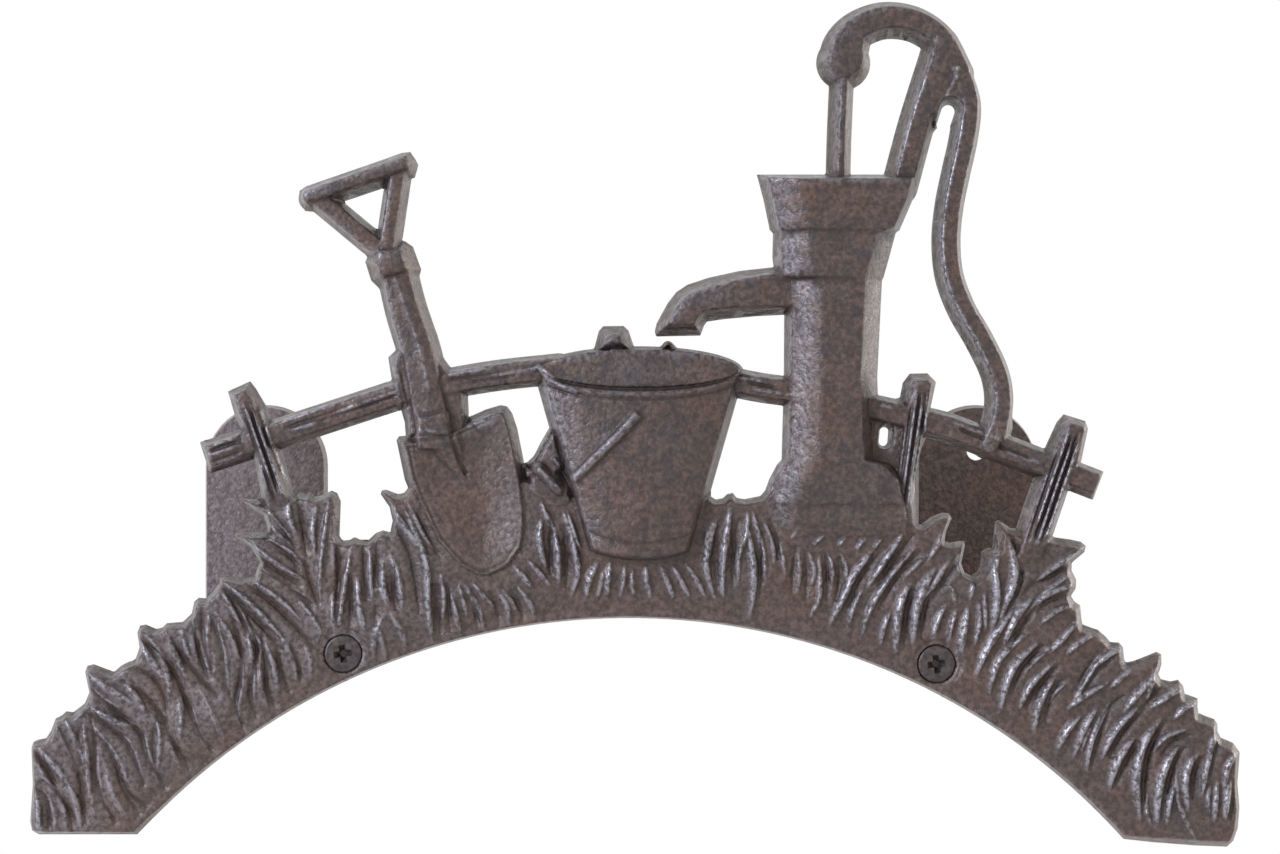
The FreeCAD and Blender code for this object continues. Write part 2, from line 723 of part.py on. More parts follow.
def build_bucket():
    ground = size["plate_thick"]
    tub = barrel(BUCKET_LOW, BUCKET_HIGH, size["bucket_wall"], size["bucket_bulge"])
    centre = BUCKET_SOLE + BUCKET_SOLE_RADIUS
    left = BUCKET_SOLE_MIDDLE - BUCKET_SOLE_RADIUS
    right = BUCKET_SOLE_MIDDLE + BUCKET_SOLE_RADIUS
    far = plate_back + (ground + size["bucket_bulge"]) * 2
    trim = Part.Face(Part.Wire([
        Part.makeLine(spot_at(right, MOUTH_LEFT[1], plate_back), spot_at(right, centre, plate_back)),
        Part.Arc(spot_at(right, centre, plate_back),
                 spot_at(BUCKET_SOLE_MIDDLE, BUCKET_SOLE, plate_back),
                 spot_at(left, centre, plate_back)).toShape(),
        Part.makeLine(spot_at(left, centre, plate_back), spot_at(left, MOUTH_LEFT[1], plate_back)),
        Part.makeLine(spot_at(left, MOUTH_LEFT[1], plate_back),
                      spot_at(right, MOUTH_LEFT[1], plate_back)),
    ])).extrude(Vector(0, plate_back - far, 0))
    tub = tub.common(trim)
    rim = plate_back + ground + size["bucket_bulge"] - RIM_DROP
    collar = lens(MOUTH_LEFT, MOUTH_RIGHT, MOUTH_TOP, MOUTH_LOW, plate_back, rim)
    inner_left = (MOUTH_LEFT[0] + 2 * MOUTH_LIP, MOUTH_LEFT[1] + MOUTH_LEAN)
    inner_right = (MOUTH_RIGHT[0] - 2 * MOUTH_LIP, MOUTH_RIGHT[1])
    inner_top = (MOUTH_TOP[0], MOUTH_TOP[1] - MOUTH_LIP * 0.7)
    inner_low = (MOUTH_LOW[0], MOUTH_LOW[1] + MOUTH_LIP)
    mouth = lens(inner_left, inner_right, inner_top, inner_low, rim - size["bucket_mouth"], far)
    body = tub.fuse(collar).cut(mouth)
    top = ground + size["rail_rise"]
    lug = raised(BUCKET_LUG, ((top * 0.8, BUCKET_LUG_STEPS[0]), (top, BUCKET_LUG_STEPS[1])))
    pieces = [body, lug]
    for start, end in BAIL:
        pieces.append(rod((start, end), size["bail_width"], size["bucket_bulge"] - BAIL_DROP))
    pieces.append(rod(BAIL_HOLD, size["hold_width"], size["bucket_bulge"] * 0.7))
    return pieces


# The hand pump: column, collar, head, spout, piston rod, hook and long handle

PUMP_TIERS = (
    # two levels, each as middle, half width and height, then the flank and bulge against the column
    (((63.3, 14.8, -6.0), (63.2, 14.8, 56.0)), 0.0, 0.0),
    (((63.2, 17.4, 54.6), (64.8, 19.4, 70.2)), 0.0, 1.4),
    (((65.0, 20.6, 70.0), (65.6, 24.4, 87.6)), 0.0, 2.6),
    (((64.5, 22.6, -15.0), (64.5, 18.6, -3.2)), -1.0, -1.6),
    (((66.0, 25.0, -25.0), (65.0, 24.0, -14.8)), -1.6, -4.0),
)
SPOUT_DROP = 3.0
BALL_RISE = 1.0
SPOUT_STEPS = (1.4, 3.0)
LIP_STEPS = (0.6, 1.6)
SPOUT = ((52.0, 59.0), (35.0, 57.5), (25.0, 55.3), (18.0, 53.2), (13.5, 49.6), (11.0, 45.2),
         (9.2, 41.4), (8.6, 37.0), (22.3, 37.2), (23.4, 40.0), (26.0, 42.0), (36.0, 43.2),
         (52.0, 44.4))
SPOUT_LIP = ((8.3, 36.8), (8.3, 41.2), (23.4, 41.2), (22.6, 36.9))
PISTON = ((66.0, 84.0), (66.8, 118.0))
BALL = (67.4, 122.6)
HOOK = ((68.0, 124.0), (70.8, 131.2), (77.0, 135.4), (84.0, 136.2), (91.8, 134.0), (98.5, 128.2),
        (103.0, 118.5))
ARM = ((84.6, 82.0), (98.4, 122.5))
HANDLE = ((103.0, 119.0), (106.0, 109.5), (105.4, 100.0), (103.0, 90.0), (100.9, 79.0),
          (99.8, 68.0), (100.6, 56.5), (104.4, 45.5), (110.4, 35.5), (115.0, 26.0), (116.4, 17.0),
          (115.0, 8.0), (112.4, 0.0))
HOOK_WEB = ((92.0, 122.0), (104.0, 125.0), (108.0, 113.0), (104.6, 107.5), (101.4, 110.4),
            (99.4, 110.2), (96.4, 106.0), (90.0, 108.0))


def build_pump():
    wall = size["pump_wall"]
    bulge = size["pump_bulge"]
    pieces = []
    for (lower, upper), more_wall, more_bulge in PUMP_TIERS:
        pieces.append(barrel(lower, upper, wall + more_wall, bulge + more_bulge))
    top = size["plate_thick"] + bulge - SPOUT_DROP
    pieces.append(raised(SPOUT, ((top * 0.62, SPOUT_STEPS[0]), (top, SPOUT_STEPS[1]))))
    pieces.append(raised(SPOUT_LIP, ((top * 0.7, LIP_STEPS[0]), (top, LIP_STEPS[1]))))
    pieces.append(rod(PISTON, size["piston_width"], size["rail_rise"]))
    pieces.append(dome(BALL[0], BALL[1], size["ball_radius"], size["lever_rise"] + BALL_RISE))
    pieces.append(rod(HOOK, size["hook_width"], size["lever_rise"]))
    pieces.append(rod(ARM, size["hook_width"], size["lever_rise"]))
    pieces.append(rod(HANDLE, size["handle_width"], size["lever_rise"]))
    pieces.append(slab(list(HOOK_WEB), plate_back, plate_front))
    return pieces


# The grass: tips that make the border go through the plate, the others are ridges on its face

BORDER_BLADES = (
    # root, tip, bow and width, from the left foot to the right foot
    ((-172.0, -108.0), (-187.2, -90.0), -1.5, 9.0),
    ((-166.0, -98.0), (-180.6, -82.6), -1.0, 7.0),
    ((-163.0, -94.0), (-176.8, -80.6), -1.0, 6.0),
    ((-154.0, -86.0), (-171.0, -66.2), -2.0, 9.0),
    ((-148.0, -80.0), (-160.0, -65.6), -1.0, 7.0),
    ((-140.0, -74.0), (-154.4, -53.6), -2.0, 8.5),
    ((-135.0, -70.0), (-146.0, -52.8), -1.0, 7.0),
    ((-131.0, -66.0), (-141.4, -52.4), -1.0, 6.0),
    ((-128.0, -64.0), (-136.4, -45.2), -1.0, 5.5),
    ((-104.0, -55.0), (-128.6, -38.4), -2.0, 6.0),
    ((-98.0, -46.0), (-123.6, -25.0), -2.0, 6.0),
    ((-98.0, -33.0), (-121.4, -14.2), -1.5, 5.0),
    ((-99.0, -34.0), (-107.0, -13.4), -0.5, 6.0),
    ((-98.0, -34.0), (-100.4, -12.0), 0.0, 5.5),
    ((-95.5, -40.0), (-92.0, -11.4), 0.6, 7.0),
    ((-88.0, -42.0), (-86.0, -25.8), 0.0, 6.5),
    ((-76.0, -42.0), (-79.0, -23.8), 0.0, 6.5),
    ((-61.0, -37.0), (-77.6, -11.0), -1.2, 6.5),
    ((32.0, -24.0), (32.6, -11.8), 0.0, 5.0),
    ((90.0, -40.0), (101.2, -18.2), 1.6, 8.0),
    ((97.0, -44.0), (105.8, -27.0), 1.0, 6.0),
    ((115.0, -46.0), (111.2, -29.4), 0.6, 5.0),
    ((118.0, -46.0), (115.2, -20.2), -1.8, 7.0),
    ((118.0, -46.0), (143.8, -28.2), 2.4, 8.5),
    ((123.0, -50.0), (141.4, -39.6), 1.4, 6.0),
    ((126.0, -58.0), (142.4, -47.4), 1.4, 6.0),
    ((132.0, -66.0), (147.4, -55.2), 1.6, 6.0),
    ((140.0, -74.0), (155.4, -59.8), 2.0, 6.5),
    ((150.0, -82.0), (167.4, -62.2), 2.4, 8.5),
    ((159.0, -90.0), (173.6, -71.0), 2.0, 7.5),
    ((167.0, -96.0), (179.0, -76.4), 1.8, 7.0),
    ((173.0, -102.0), (184.8, -83.8), 1.6, 7.0),
    ((180.0, -112.0), (191.6, -92.0), 1.6, 9.0),
)
# The border's ridges stand higher, a row's blades take turns in height, and a blade's seat
# lies a little inside the ground
BORDER_MORE = 0.6
ROW_TURN = 1.5
ROW_BOW = 2.4
SEAT_BITE = 0.4
ARCH_ROWS = (
    # first and last bearing, blades, root above the arch edge, length and width
    (-44.0, -21.0, 15, 2.5, 23.0, 4.2),
    (-43.0, -19.0, 14, 19.0, 21.0, 4.2),
    (-41.0, -27.0, 8, 34.0, 17.0, 4.0),
    (-16.5, -8.0, 7, 1.5, 14.0, 3.6),
    (-7.0, 7.0, 10, 6.0, 11.5, 3.2),
    (8.0, 13.0, 5, 7.0, 28.0, 3.6),
    (14.5, 18.5, 5, 6.0, 19.0, 3.4),
    (29.0, 43.0, 11, 9.0, 21.0, 3.8),
    (28.0, 42.0, 10, 25.0, 20.0, 4.0),
)
TUFTS = (
    # first root and tip, last root and tip, blades, bow and width
    ((-183.5, -117.5), (-184.5, -104.0), (-160.0, -116.0), (-168.0, -98.0), 7, -0.8, 3.8),
    ((-172.0, -100.0), (-183.0, -92.5), (-158.0, -98.0), (-166.0, -82.0), 4, -1.2, 4.0),
    ((-26.0, -46.0), (-36.0, -35.0), (-20.0, -46.0), (-26.5, -15.0), 4, -0.6, 3.4),
    ((63.0, -53.0), (79.0, -27.0), (85.0, -61.0), (96.0, -34.0), 6, 1.6, 3.6),
    ((99.0, -58.0), (100.5, -40.0), (111.0, -62.0), (110.5, -42.0), 4, 0.4, 3.2),
    ((163.0, -117.0), (171.0, -91.0), (186.5, -114.0), (188.0, -99.0), 6, 1.2, 3.4),
)


def between(first, last, share):
    return tuple(a + (b - a) * share for a, b in zip(first, last))


def build_grass():
    """Border blades through the plate, rows along the arch, and tufts between two given blades."""
    rise = size["blade_rise"]
    seat = plate_front - SEAT_BITE
    inside = plate_back + size["plate_thick"] / 2
    pieces = []
    for root, tip, bow, width in BORDER_BLADES:
        pieces.append(blade(root, tip, bow, width, plate_back, seat, rise + BORDER_MORE, BLADE_FORM))
    for first, last, count, climb, length, width in ARCH_ROWS:
        for index in range(int(count)):
            bearing = math.radians(first + (last - first) * index / (count - 1))
            radius = size["arch_radius"] + climb + ROW_TURN * (index % 2)
            root = (radius * math.sin(bearing), arch_centre + radius * math.cos(bearing))
            lean = bearing * 0.9
            tip = (root[0] + length * math.sin(lean), root[1] + length * math.cos(lean))
            bow = ROW_BOW * math.sin(bearing)
            pieces.append(blade(root, tip, bow, width, inside, seat, rise))
    for first_root, first_tip, last_root, last_tip, count, bow, width in TUFTS:
        for index in range(int(count)):
            share = index / (count - 1)
            root = between(first_root, last_root, share)
            tip = between(first_tip, last_tip, share)
            pieces.append(blade(root, tip, bow, width, inside, seat, rise))
    return pieces


# The screw seats, and the whole plate

def build_screw_seats():
    """Countersunk holes, and a round cut in front of each so that the grass clears its head."""
    cuts = []
    shank = size["screw_bore"] / 2 + size["screw_play"]
    mouth = size["head_width"] / 2 + size["head_gap"]
    cone = size["head_width"] / 2 + size["head_sunk"] + size["head_rim"] + size["seat_play"]
    ahead = plate_front + size["plate_thick"]
    toward_wall = Vector(0, 1, 0)
    for x, z in SCREW_SPOTS:
        start = spot_at(x, z, ahead)
        shoulder = spot_at(x, z, plate_front - cone + mouth)
        cuts.append(Part.makeCylinder(shank, size["plate_thick"] * 4, start, toward_wall))
        cuts.append(Part.makeCylinder(mouth, size["plate_thick"] + cone - mouth, start, toward_wall))
        cuts.append(Part.makeCone(mouth, shank, mouth - shank, shoulder, toward_wall))
    return cuts


def build_front_plate():
    relief = build_fence() + build_shovel() + build_bucket() + build_pump() + build_grass()
    body = build_ground().multiFuse(relief)
    arch = Part.makeCylinder(size["arch_radius"], size["plate_thick"] * 8,
                             spot_at(0, arch_centre, plate_back + size["plate_thick"] * 6),
                             Vector(0, 1, 0))
    body = body.cut([arch, build_web_hole()] + build_screw_seats())
    body = body.removeSplitter()
    feature = doc.addObject("Part::Feature", "FrontPlate")
    feature.Label = "front_plate"
    feature.Shape = body
    feature.Placement = Placement(Vector(0, 0, 0), Rotation())
    return feature


# Build, check and export

nodes = [build_saddle(), build_screws(), build_nuts(), build_front_plate()]
doc.recompute()

for item in doc.Objects:
    if "Invalid" in item.State or "Error" in item.State:
        raise RuntimeError("%s did not compute" % item.Label)
for node in nodes:
    if node.Shape.isNull() or not node.Shape.isValid():
        raise RuntimeError("%s has no valid shape" % node.Label)

os.makedirs("parts", exist_ok=True)
for node in nodes:
    node.Shape.exportStep("parts/%s.step" % node.Label)
    print(node.Label, len(node.Shape.Solids), "solids", round(node.Shape.Volume), "mm3")
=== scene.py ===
import math
import bpy
import numpy as np
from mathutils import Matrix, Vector, geometry


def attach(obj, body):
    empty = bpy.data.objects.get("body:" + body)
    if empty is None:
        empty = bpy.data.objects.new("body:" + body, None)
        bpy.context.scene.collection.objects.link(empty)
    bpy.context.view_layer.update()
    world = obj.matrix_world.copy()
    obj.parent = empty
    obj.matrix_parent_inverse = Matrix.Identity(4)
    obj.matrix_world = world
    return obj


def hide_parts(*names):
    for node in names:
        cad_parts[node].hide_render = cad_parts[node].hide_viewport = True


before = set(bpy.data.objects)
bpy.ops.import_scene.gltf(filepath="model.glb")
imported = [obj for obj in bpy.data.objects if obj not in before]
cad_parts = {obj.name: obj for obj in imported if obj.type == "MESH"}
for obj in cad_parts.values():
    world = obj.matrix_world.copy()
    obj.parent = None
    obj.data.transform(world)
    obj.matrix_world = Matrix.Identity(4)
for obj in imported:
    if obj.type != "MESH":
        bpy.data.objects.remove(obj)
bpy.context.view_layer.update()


# The saddle. A sand casting of grey iron: an arched sheet with two wall ears and two lugs, painted
# with a brown antique wax. The hose lies on it, so only its ears are seen from the front.

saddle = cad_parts["saddle_bracket"]


def linear(hex_colour):
    """An sRGB colour such as 5a4c49 as linear red, green, blue and alpha."""
    shares = [int(hex_colour[at:at + 2], 16) / 255 for at in (0, 2, 4)]
    return [s / 12.92 if s <= 0.04045 else ((s + 0.055) / 1.055) ** 2.4 for s in shares] + [1.0]


def add_node(tree, kind, settings=None, values=None, links=None):
    """Adds one node: settings are its properties, values go to its sockets, links come from others."""
    node = tree.nodes.new(kind)
    for name, value in (settings or {}).items():
        setattr(node, name, value)
    for name, value in (values or {}).items():
        node.inputs[name].default_value = value
    for name, source in (links or {}).items():
        tree.links.new(source, node.inputs[name])
    return node


def new_material(name):
    """A plain material: itself, its node tree, its shader, and the place on the piece in metres."""
    material = bpy.data.materials.new(name)
    material.use_nodes = True
    tree = material.node_tree
    place = add_node(tree, "ShaderNodeTexCoord").outputs["Object"]
    return material, tree, tree.nodes["Principled BSDF"], place


IRON_BROWN = linear("4e423e")       # wax over the as-cast skin
IRON_RED = linear("554239")         # where the wax lies thick
IRON_BARE_AND_HIGHLIGHT = linear("8e8c92")      # bare iron on the ridges, blue-grey; the same colour makes the painted highlights
IRON_LIT_EAR = linear("7a7070")        # painted light: the left ear made paler and bluer, as lit from the left
IRON_POOL_AND_SHADE = linear("241a17")        # wax pooled in the creases, and painted shade there
IRON_SCALE = linear("2b2a2f")       # blue-black casting scale that the wax leaves bare
WAXED_METAL = 0.12                  # how much the wax lets the metal show

# The patterns' sizes in millimetres
GRAIN = 1.5                         # pebbles of about 0.8 mm that the sand leaves, twice that apart
CLUMP = 2.8                         # knots where grains of sand held together
SCALE_SPOT = 5.0                    # spots of casting scale
WAX_PATCH = 26.0                    # strokes of the wax brush


def cast_iron(name, relief):
    """Sand-cast grey iron under brown antique wax. The sand leaves a fine pebbled skin that breaks
    up the gloss; the wax is darkest in the creases, which also carry painted shade, and rubbed
    through on the ridges, where painted highlights are laid on in the same bare-iron colour. The wax
    gives the steep flanks a pale sheen. Patches of dark casting scale show on the raised parts. The
    relief plate carries two attributes worked out from its shape: bare iron with painted highlight,
    and pooled wax with painted shade. On the saddle the left ear is painted paler, as if lit."""
    material, tree, shader, place = new_material(name)
    depths = add_node(tree, "ShaderNodeSeparateXYZ", {}, {}, {"Vector": place})
    sheen = add_node(tree, "ShaderNodeLayerWeight", {}, {"Blend": 0.5})
    noise = {}
    for pattern, size, detail, roughness in (("grain", GRAIN, 2.0, 0.6), ("clump", CLUMP, 3.0, 0.5),
                                             ("patch", WAX_PATCH, 4.0, 0.6),
                                             ("scale", SCALE_SPOT, 6.0, 0.72)):
        noise[pattern] = add_node(tree, "ShaderNodeTexNoise", {},
                                  {"Scale": 1000 / size, "Detail": detail, "Roughness": roughness},
                                  {"Vector": place}).outputs["Fac"]
    # each share runs between two levels of its source: raised, from 0.5 to 4 mm above the ground
    share = {}
    for use, source, low, high, at_low, at_high in (
            ("thick wax", noise["patch"], 0.40, 0.66, 0.0, 1.0),
            ("speck", noise["grain"], 0.36, 0.64, 0.60, 1.40),
            ("blotch", noise["clump"], 0.36, 0.64, 0.84, 1.14),
            ("scale", noise["scale"], 0.47, 0.62, 0.0, 0.62),
            ("raised", depths.outputs["Y"], -0.1315, -0.135, 0.2, 1.0),
            ("sheen", sheen.outputs["Facing"], 0.25, 0.75, 0.0, 0.42),
            ("rough", noise["clump"], 0.35, 0.65, 0.38, 0.58)):
        share[use] = add_node(tree, "ShaderNodeMapRange", {},
                              {"From Min": low, "From Max": high, "To Min": at_low, "To Max": at_high},
                              {"Value": source}).outputs["Result"]

    skin = add_node(tree, "ShaderNodeMix", {"data_type": "RGBA"}, {"A": IRON_BROWN, "B": IRON_RED},
                    {"Factor": share["thick wax"]}).outputs["Result"]
    for shade in ("speck", "blotch"):
        skin = add_node(tree, "ShaderNodeMix", {"data_type": "RGBA", "blend_type": "MULTIPLY"},
                        {"Factor": 1.0}, {"A": skin, "B": share[shade]}).outputs["Result"]
    scale_here = add_node(tree, "ShaderNodeMath", {"operation": "MULTIPLY"}, {},
                          {0: share["scale"], 1: share["raised"]})
    scaled = add_node(tree, "ShaderNodeMix", {"data_type": "RGBA"}, {"B": IRON_SCALE},
                      {"Factor": scale_here.outputs["Value"], "A": skin})
    skin = scaled.outputs["Result"]
    gloss = share["rough"]
    if relief:
        # the two attributes: bare iron together with painted highlight, and pooled wax together with painted
        # shade
        worn_and_lit = add_node(tree, "ShaderNodeAttribute", {"attribute_name": "worn_and_lit"})
        crease = add_node(tree, "ShaderNodeAttribute", {"attribute_name": "crease"})
        grain_breakup = add_node(tree, "ShaderNodeMapRange", {},
                              {"From Min": 0.38, "From Max": 0.56, "To Min": 0.12, "To Max": 1.0},
                              {"Value": noise["grain"]})
        mark_share = add_node(tree, "ShaderNodeMath", {"operation": "MULTIPLY", "use_clamp": True}, {},
                        {0: worn_and_lit.outputs["Fac"], 1: grain_breakup.outputs["Result"]})
        # mixed in: the bare-iron colour as wear and painted highlight, then the pooled-wax colour as wax and
        # painted shade
        bare_and_highlight_mix = add_node(tree, "ShaderNodeMix", {"data_type": "RGBA"}, {"B": IRON_BARE_AND_HIGHLIGHT},
                          {"Factor": mark_share.outputs["Value"], "A": skin})
        wax_and_shade_mix = add_node(tree, "ShaderNodeMix", {"data_type": "RGBA"}, {"B": IRON_POOL_AND_SHADE},
                          {"Factor": crease.outputs["Fac"], "A": bare_and_highlight_mix.outputs["Result"]})
        skin = wax_and_shade_mix.outputs["Result"]
        polish = add_node(tree, "ShaderNodeMath", {"operation": "MULTIPLY_ADD"}, {1: -0.14},
                          {0: mark_share.outputs["Value"], 2: gloss})
        gloss = polish.outputs["Value"]
        metal = add_node(tree, "ShaderNodeMath", {"operation": "MULTIPLY_ADD"},
                         {1: 0.35, 2: WAXED_METAL}, {0: mark_share.outputs["Value"]})
        tree.links.new(metal.outputs["Value"], shader.inputs["Metallic"])
    else:
        # painted light: the left ear is made paler, as lit by the lamp on the left; left of the middle by 90
        # mm or more, and close to the wall
        shader.inputs["Metallic"].default_value = WAXED_METAL
        to_left = add_node(tree, "ShaderNodeMapRange", {},
                           {"From Min": -0.09, "From Max": -0.14, "To Min": 0.0, "To Max": 0.7},
                           {"Value": depths.outputs["X"]})
        on_ear = add_node(tree, "ShaderNodeMapRange", {},
                          {"From Min": -0.014, "From Max": -0.008, "To Min": 0.0, "To Max": 1.0},
                          {"Value": depths.outputs["Y"]})
        left_ear_painted_light = add_node(tree, "ShaderNodeMath", {"operation": "MULTIPLY"}, {},
                            {0: to_left.outputs["Result"], 1: on_ear.outputs["Result"]})
        lit_ear_speck = add_node(tree, "ShaderNodeMix", {"data_type": "RGBA", "blend_type": "MULTIPLY"},
                              {"Factor": 0.8, "A": IRON_LIT_EAR}, {"B": share["speck"]})
        skin_with_lit_ear = add_node(tree, "ShaderNodeMix", {"data_type": "RGBA"}, {},
                                {"Factor": left_ear_painted_light.outputs["Value"], "A": skin,
                                 "B": lit_ear_speck.outputs["Result"]})
        skin = skin_with_lit_ear.outputs["Result"]

    fine = add_node(tree, "ShaderNodeBump", {}, {"Strength": 0.8, "Distance": 0.0004},
                    {"Height": noise["grain"]})
    coarse = add_node(tree, "ShaderNodeBump", {}, {"Strength": 0.6, "Distance": 0.0006},
                      {"Height": noise["clump"], "Normal": fine.outputs["Normal"]})
    for socket, source in (("Base Color", skin), ("Roughness", gloss), ("Coat Weight", share["sheen"]),
                           ("Normal", coarse.outputs["Normal"]),
                           ("Coat Normal", coarse.outputs["Normal"])):
        tree.links.new(source, shader.inputs[socket])
    shader.inputs["Coat Roughness"].default_value = 0.3
    return material


saddle.data.materials.clear()
saddle.data.materials.append(cast_iron("waxed_cast_iron_saddle", False))


# The relief plate. One sand casting of grey iron, its picture pressed into the mould by a carved
# pattern, so that every flank has draft and every inside corner a small round. It is worked out as
# a height above its flat back for each place across and up, in millimetres.

BACK = 126.0                # wall to the back of the plate
GROUND = 5.0                # thickness of the plain ground
PITCH = 0.40                # spacing of the places
ARCH_RADIUS = 209.0         # lower edge of the plate
ARCH_MIDDLE = -260.6        # height of that edge's centre
SHUT = -6.0                 # height that stands for no iron, well behind the back

across = np.arange(-189.2, 193.4, PITCH)
up = np.arange(-124.8, 143.4, PITCH)
GX, GZ = np.meshgrid(across, up)
height = np.full(GX.shape, SHUT)


def soft_min(a, b, blend):
    """The lesser of two heights, with their meeting edge rounded over the blend."""
    return np.minimum(a, b) - np.maximum(blend - np.abs(a - b), 0) ** 2 / (4 * blend)


def soft_max(a, b, blend):
    """The greater of two heights, with their meeting corner filleted over the blend."""
    return np.maximum(a, b) + np.maximum(blend - np.abs(a - b), 0) ** 2 / (4 * blend)


def window(points, margin):
    """The part of the grid within a margin around some points, as two slices."""
    low = np.min(points, axis=0) - margin
    high = np.max(points, axis=0) + margin
    first = np.searchsorted(across, low[0])
    last = np.searchsorted(across, high[0])
    bottom = np.searchsorted(up, low[1])
    top = np.searchsorted(up, high[1])
    return slice(bottom, top), slice(first, last)


def trace(points, per_run=6):
    """A smooth curve through the points: each run is a cubic whose end slopes are half the chord
    between the neighbours on both sides."""
    p = np.asarray(points, float)
    if len(p) == 2:
        return p
    padded = np.vstack([2 * p[0] - p[1], p, 2 * p[-1] - p[-2]])
    t = np.arange(per_run)[:, None] / per_run
    runs = []
    for a, b, c, d in zip(padded, padded[1:], padded[2:], padded[3:]):
        runs.append(0.5 * (2 * b + (c - a) * t + (2 * a - 5 * b + 4 * c - d) * t ** 2
                           + (3 * b - a - 3 * c + d) * t ** 3))
    return np.vstack(runs + [p[-1:]])


def inside_of(outline, x, z):
    """Distance to a closed outline: that to the nearest side, positive inside and negative outside,
    where inside means an odd number of sides crossed on the way out."""
    corners = np.asarray(outline, float)
    nearest = np.full(x.shape, 1e9)
    odd = np.zeros(x.shape, bool)
    for a, b in zip(corners, np.roll(corners, -1, axis=0)):
        run = b - a
        share = np.clip(((x - a[0]) * run[0] + (z - a[1]) * run[1]) / max(run @ run, 1e-9), 0, 1)
        nearest = np.minimum(nearest, (x - a[0] - share * run[0]) ** 2 + (z - a[1] - share * run[1]) ** 2)
        if a[1] != b[1]:
            crossing = a[0] + (z - a[1]) / (b[1] - a[1]) * run[0]
            odd ^= ((a[1] > z) != (b[1] > z)) & (x < crossing)
    return np.where(odd, 1, -1) * np.sqrt(nearest)


def along(route, x, z):
    """For each place, from the nearest run of the route: its distance, positive to the right of the
    way and negative to the left, its share of the way along, and how far it lies past an end."""
    points = np.asarray(route, float)
    lengths = np.hypot(*np.diff(points, axis=0).T)
    starts = np.concatenate([[0], np.cumsum(lengths)])
    best = np.full(x.shape, 1e9)
    aside, share, past = np.zeros(x.shape), np.zeros(x.shape), np.zeros(x.shape)
    for index in range(len(lengths)):
        a = points[index]
        way = (points[index + 1] - a) / max(lengths[index], 1e-9)
        free = (x - a[0]) * way[0] + (z - a[1]) * way[1]
        t = np.clip(free, 0, lengths[index])
        dx = x - a[0] - t * way[0]
        dz = z - a[1] - t * way[1]
        gap = np.hypot(dx, dz)
        nearer = gap < best
        best = np.where(nearer, gap, best)
        aside = np.where(nearer, np.sign(dx * way[1] - dz * way[0]) * gap, aside)
        share = np.where(nearer, (starts[index] + t) / starts[-1], share)
        before = -free if index == 0 else np.full(x.shape, -99.0)
        after = free - lengths[index] if index == len(lengths) - 1 else np.full(x.shape, -99.0)
        past = np.where(nearer, np.maximum(before, after), past)
    return aside, share, past


def flank(distance, top, slope, blend=1.6):
    """A drafted flank that rises by the slope from the outline and rounds over into the top."""
    return soft_min(slope * distance, top, blend)


def cast_on(part, shape, blend=1.0):
    """Adds a piece of the picture to the plate: the soft greater of the two heights."""
    height[part] = soft_max(height[part], shape, blend)


def boss(outline, top, slope=3.0, blend=1.6, fillet=1.0):
    """A raised flat piece with a given outline, flank slope and top height."""
    part = window(outline, 4)
    cast_on(part, flank(inside_of(outline, GX[part], GZ[part]), top, slope, blend), fillet)


def bar(points, width, top, slope=3.0, crown=0.8, blend=1.2, fillet=1.0, square=False):
    """A cast bar along a smooth route: drafted flanks, and a top that falls by the crown times the
    square of the distance from its middle. Width may differ at its two ends, which are round unless
    they are square."""
    route = trace(points)
    wide = max(width) if isinstance(width, tuple) else width
    part = window(route, wide / 2 + 4)
    aside, share, past = along(route, GX[part], GZ[part])
    half = (width[0] + (width[1] - width[0]) * share) / 2 if isinstance(width, tuple) else width / 2
    off = np.abs(aside)
    if square:
        off = np.sqrt(np.maximum(off ** 2 - np.maximum(past, 0) ** 2, 0))
    shape = soft_min(slope * (half - off), top - crown * (off / half) ** 2, blend)
    if square:
        shape = soft_min(shape, -slope * past, blend)
    cast_on(part, shape, fillet)


# bare iron and painted highlight, laid on the relief as a share between 0 and 1
bare_and_painted_highlight = np.zeros(GX.shape)


def rib(points, half, rise, sharp=1.0, fade=0.6, bare_and_lit_share=0.0):
    """A rib on the surface as it lies, or a groove if the rise is negative. Across it the rise goes
    with one less the square of the distance over the half width, taken to the power sharp, and it
    runs out over the fade at both ends. The last argument is how strongly its crown is marked in
    the bare-iron colour: worn bare and painted as a highlight."""
    route = trace(points)
    part = window(route, half + 1)
    aside, share, past = along(route, GX[part], GZ[part])
    profile = np.clip(1 - (aside / half) ** 2, 0, 1) ** sharp * np.clip(-past / fade, 0, 1)
    height[part] += np.where(height[part] > 1.5, rise * profile, 0)
    bare_and_painted_highlight[part] = np.maximum(bare_and_painted_highlight[part], bare_and_lit_share * np.clip((profile - 0.45) / 0.4, 0, 1))


def painted_highlight_spot(middle, reach, bare_and_lit_share):
    """A painted highlight in the bare-iron colour, where light falls on the casting: a bell over an ellipse,
    reach across and up.
    """
    off = ((GX - middle[0]) / reach[0]) ** 2 + ((GZ - middle[1]) / reach[1]) ** 2
    np.maximum(bare_and_painted_highlight, bare_and_lit_share * np.exp(-off), out=bare_and_painted_highlight)


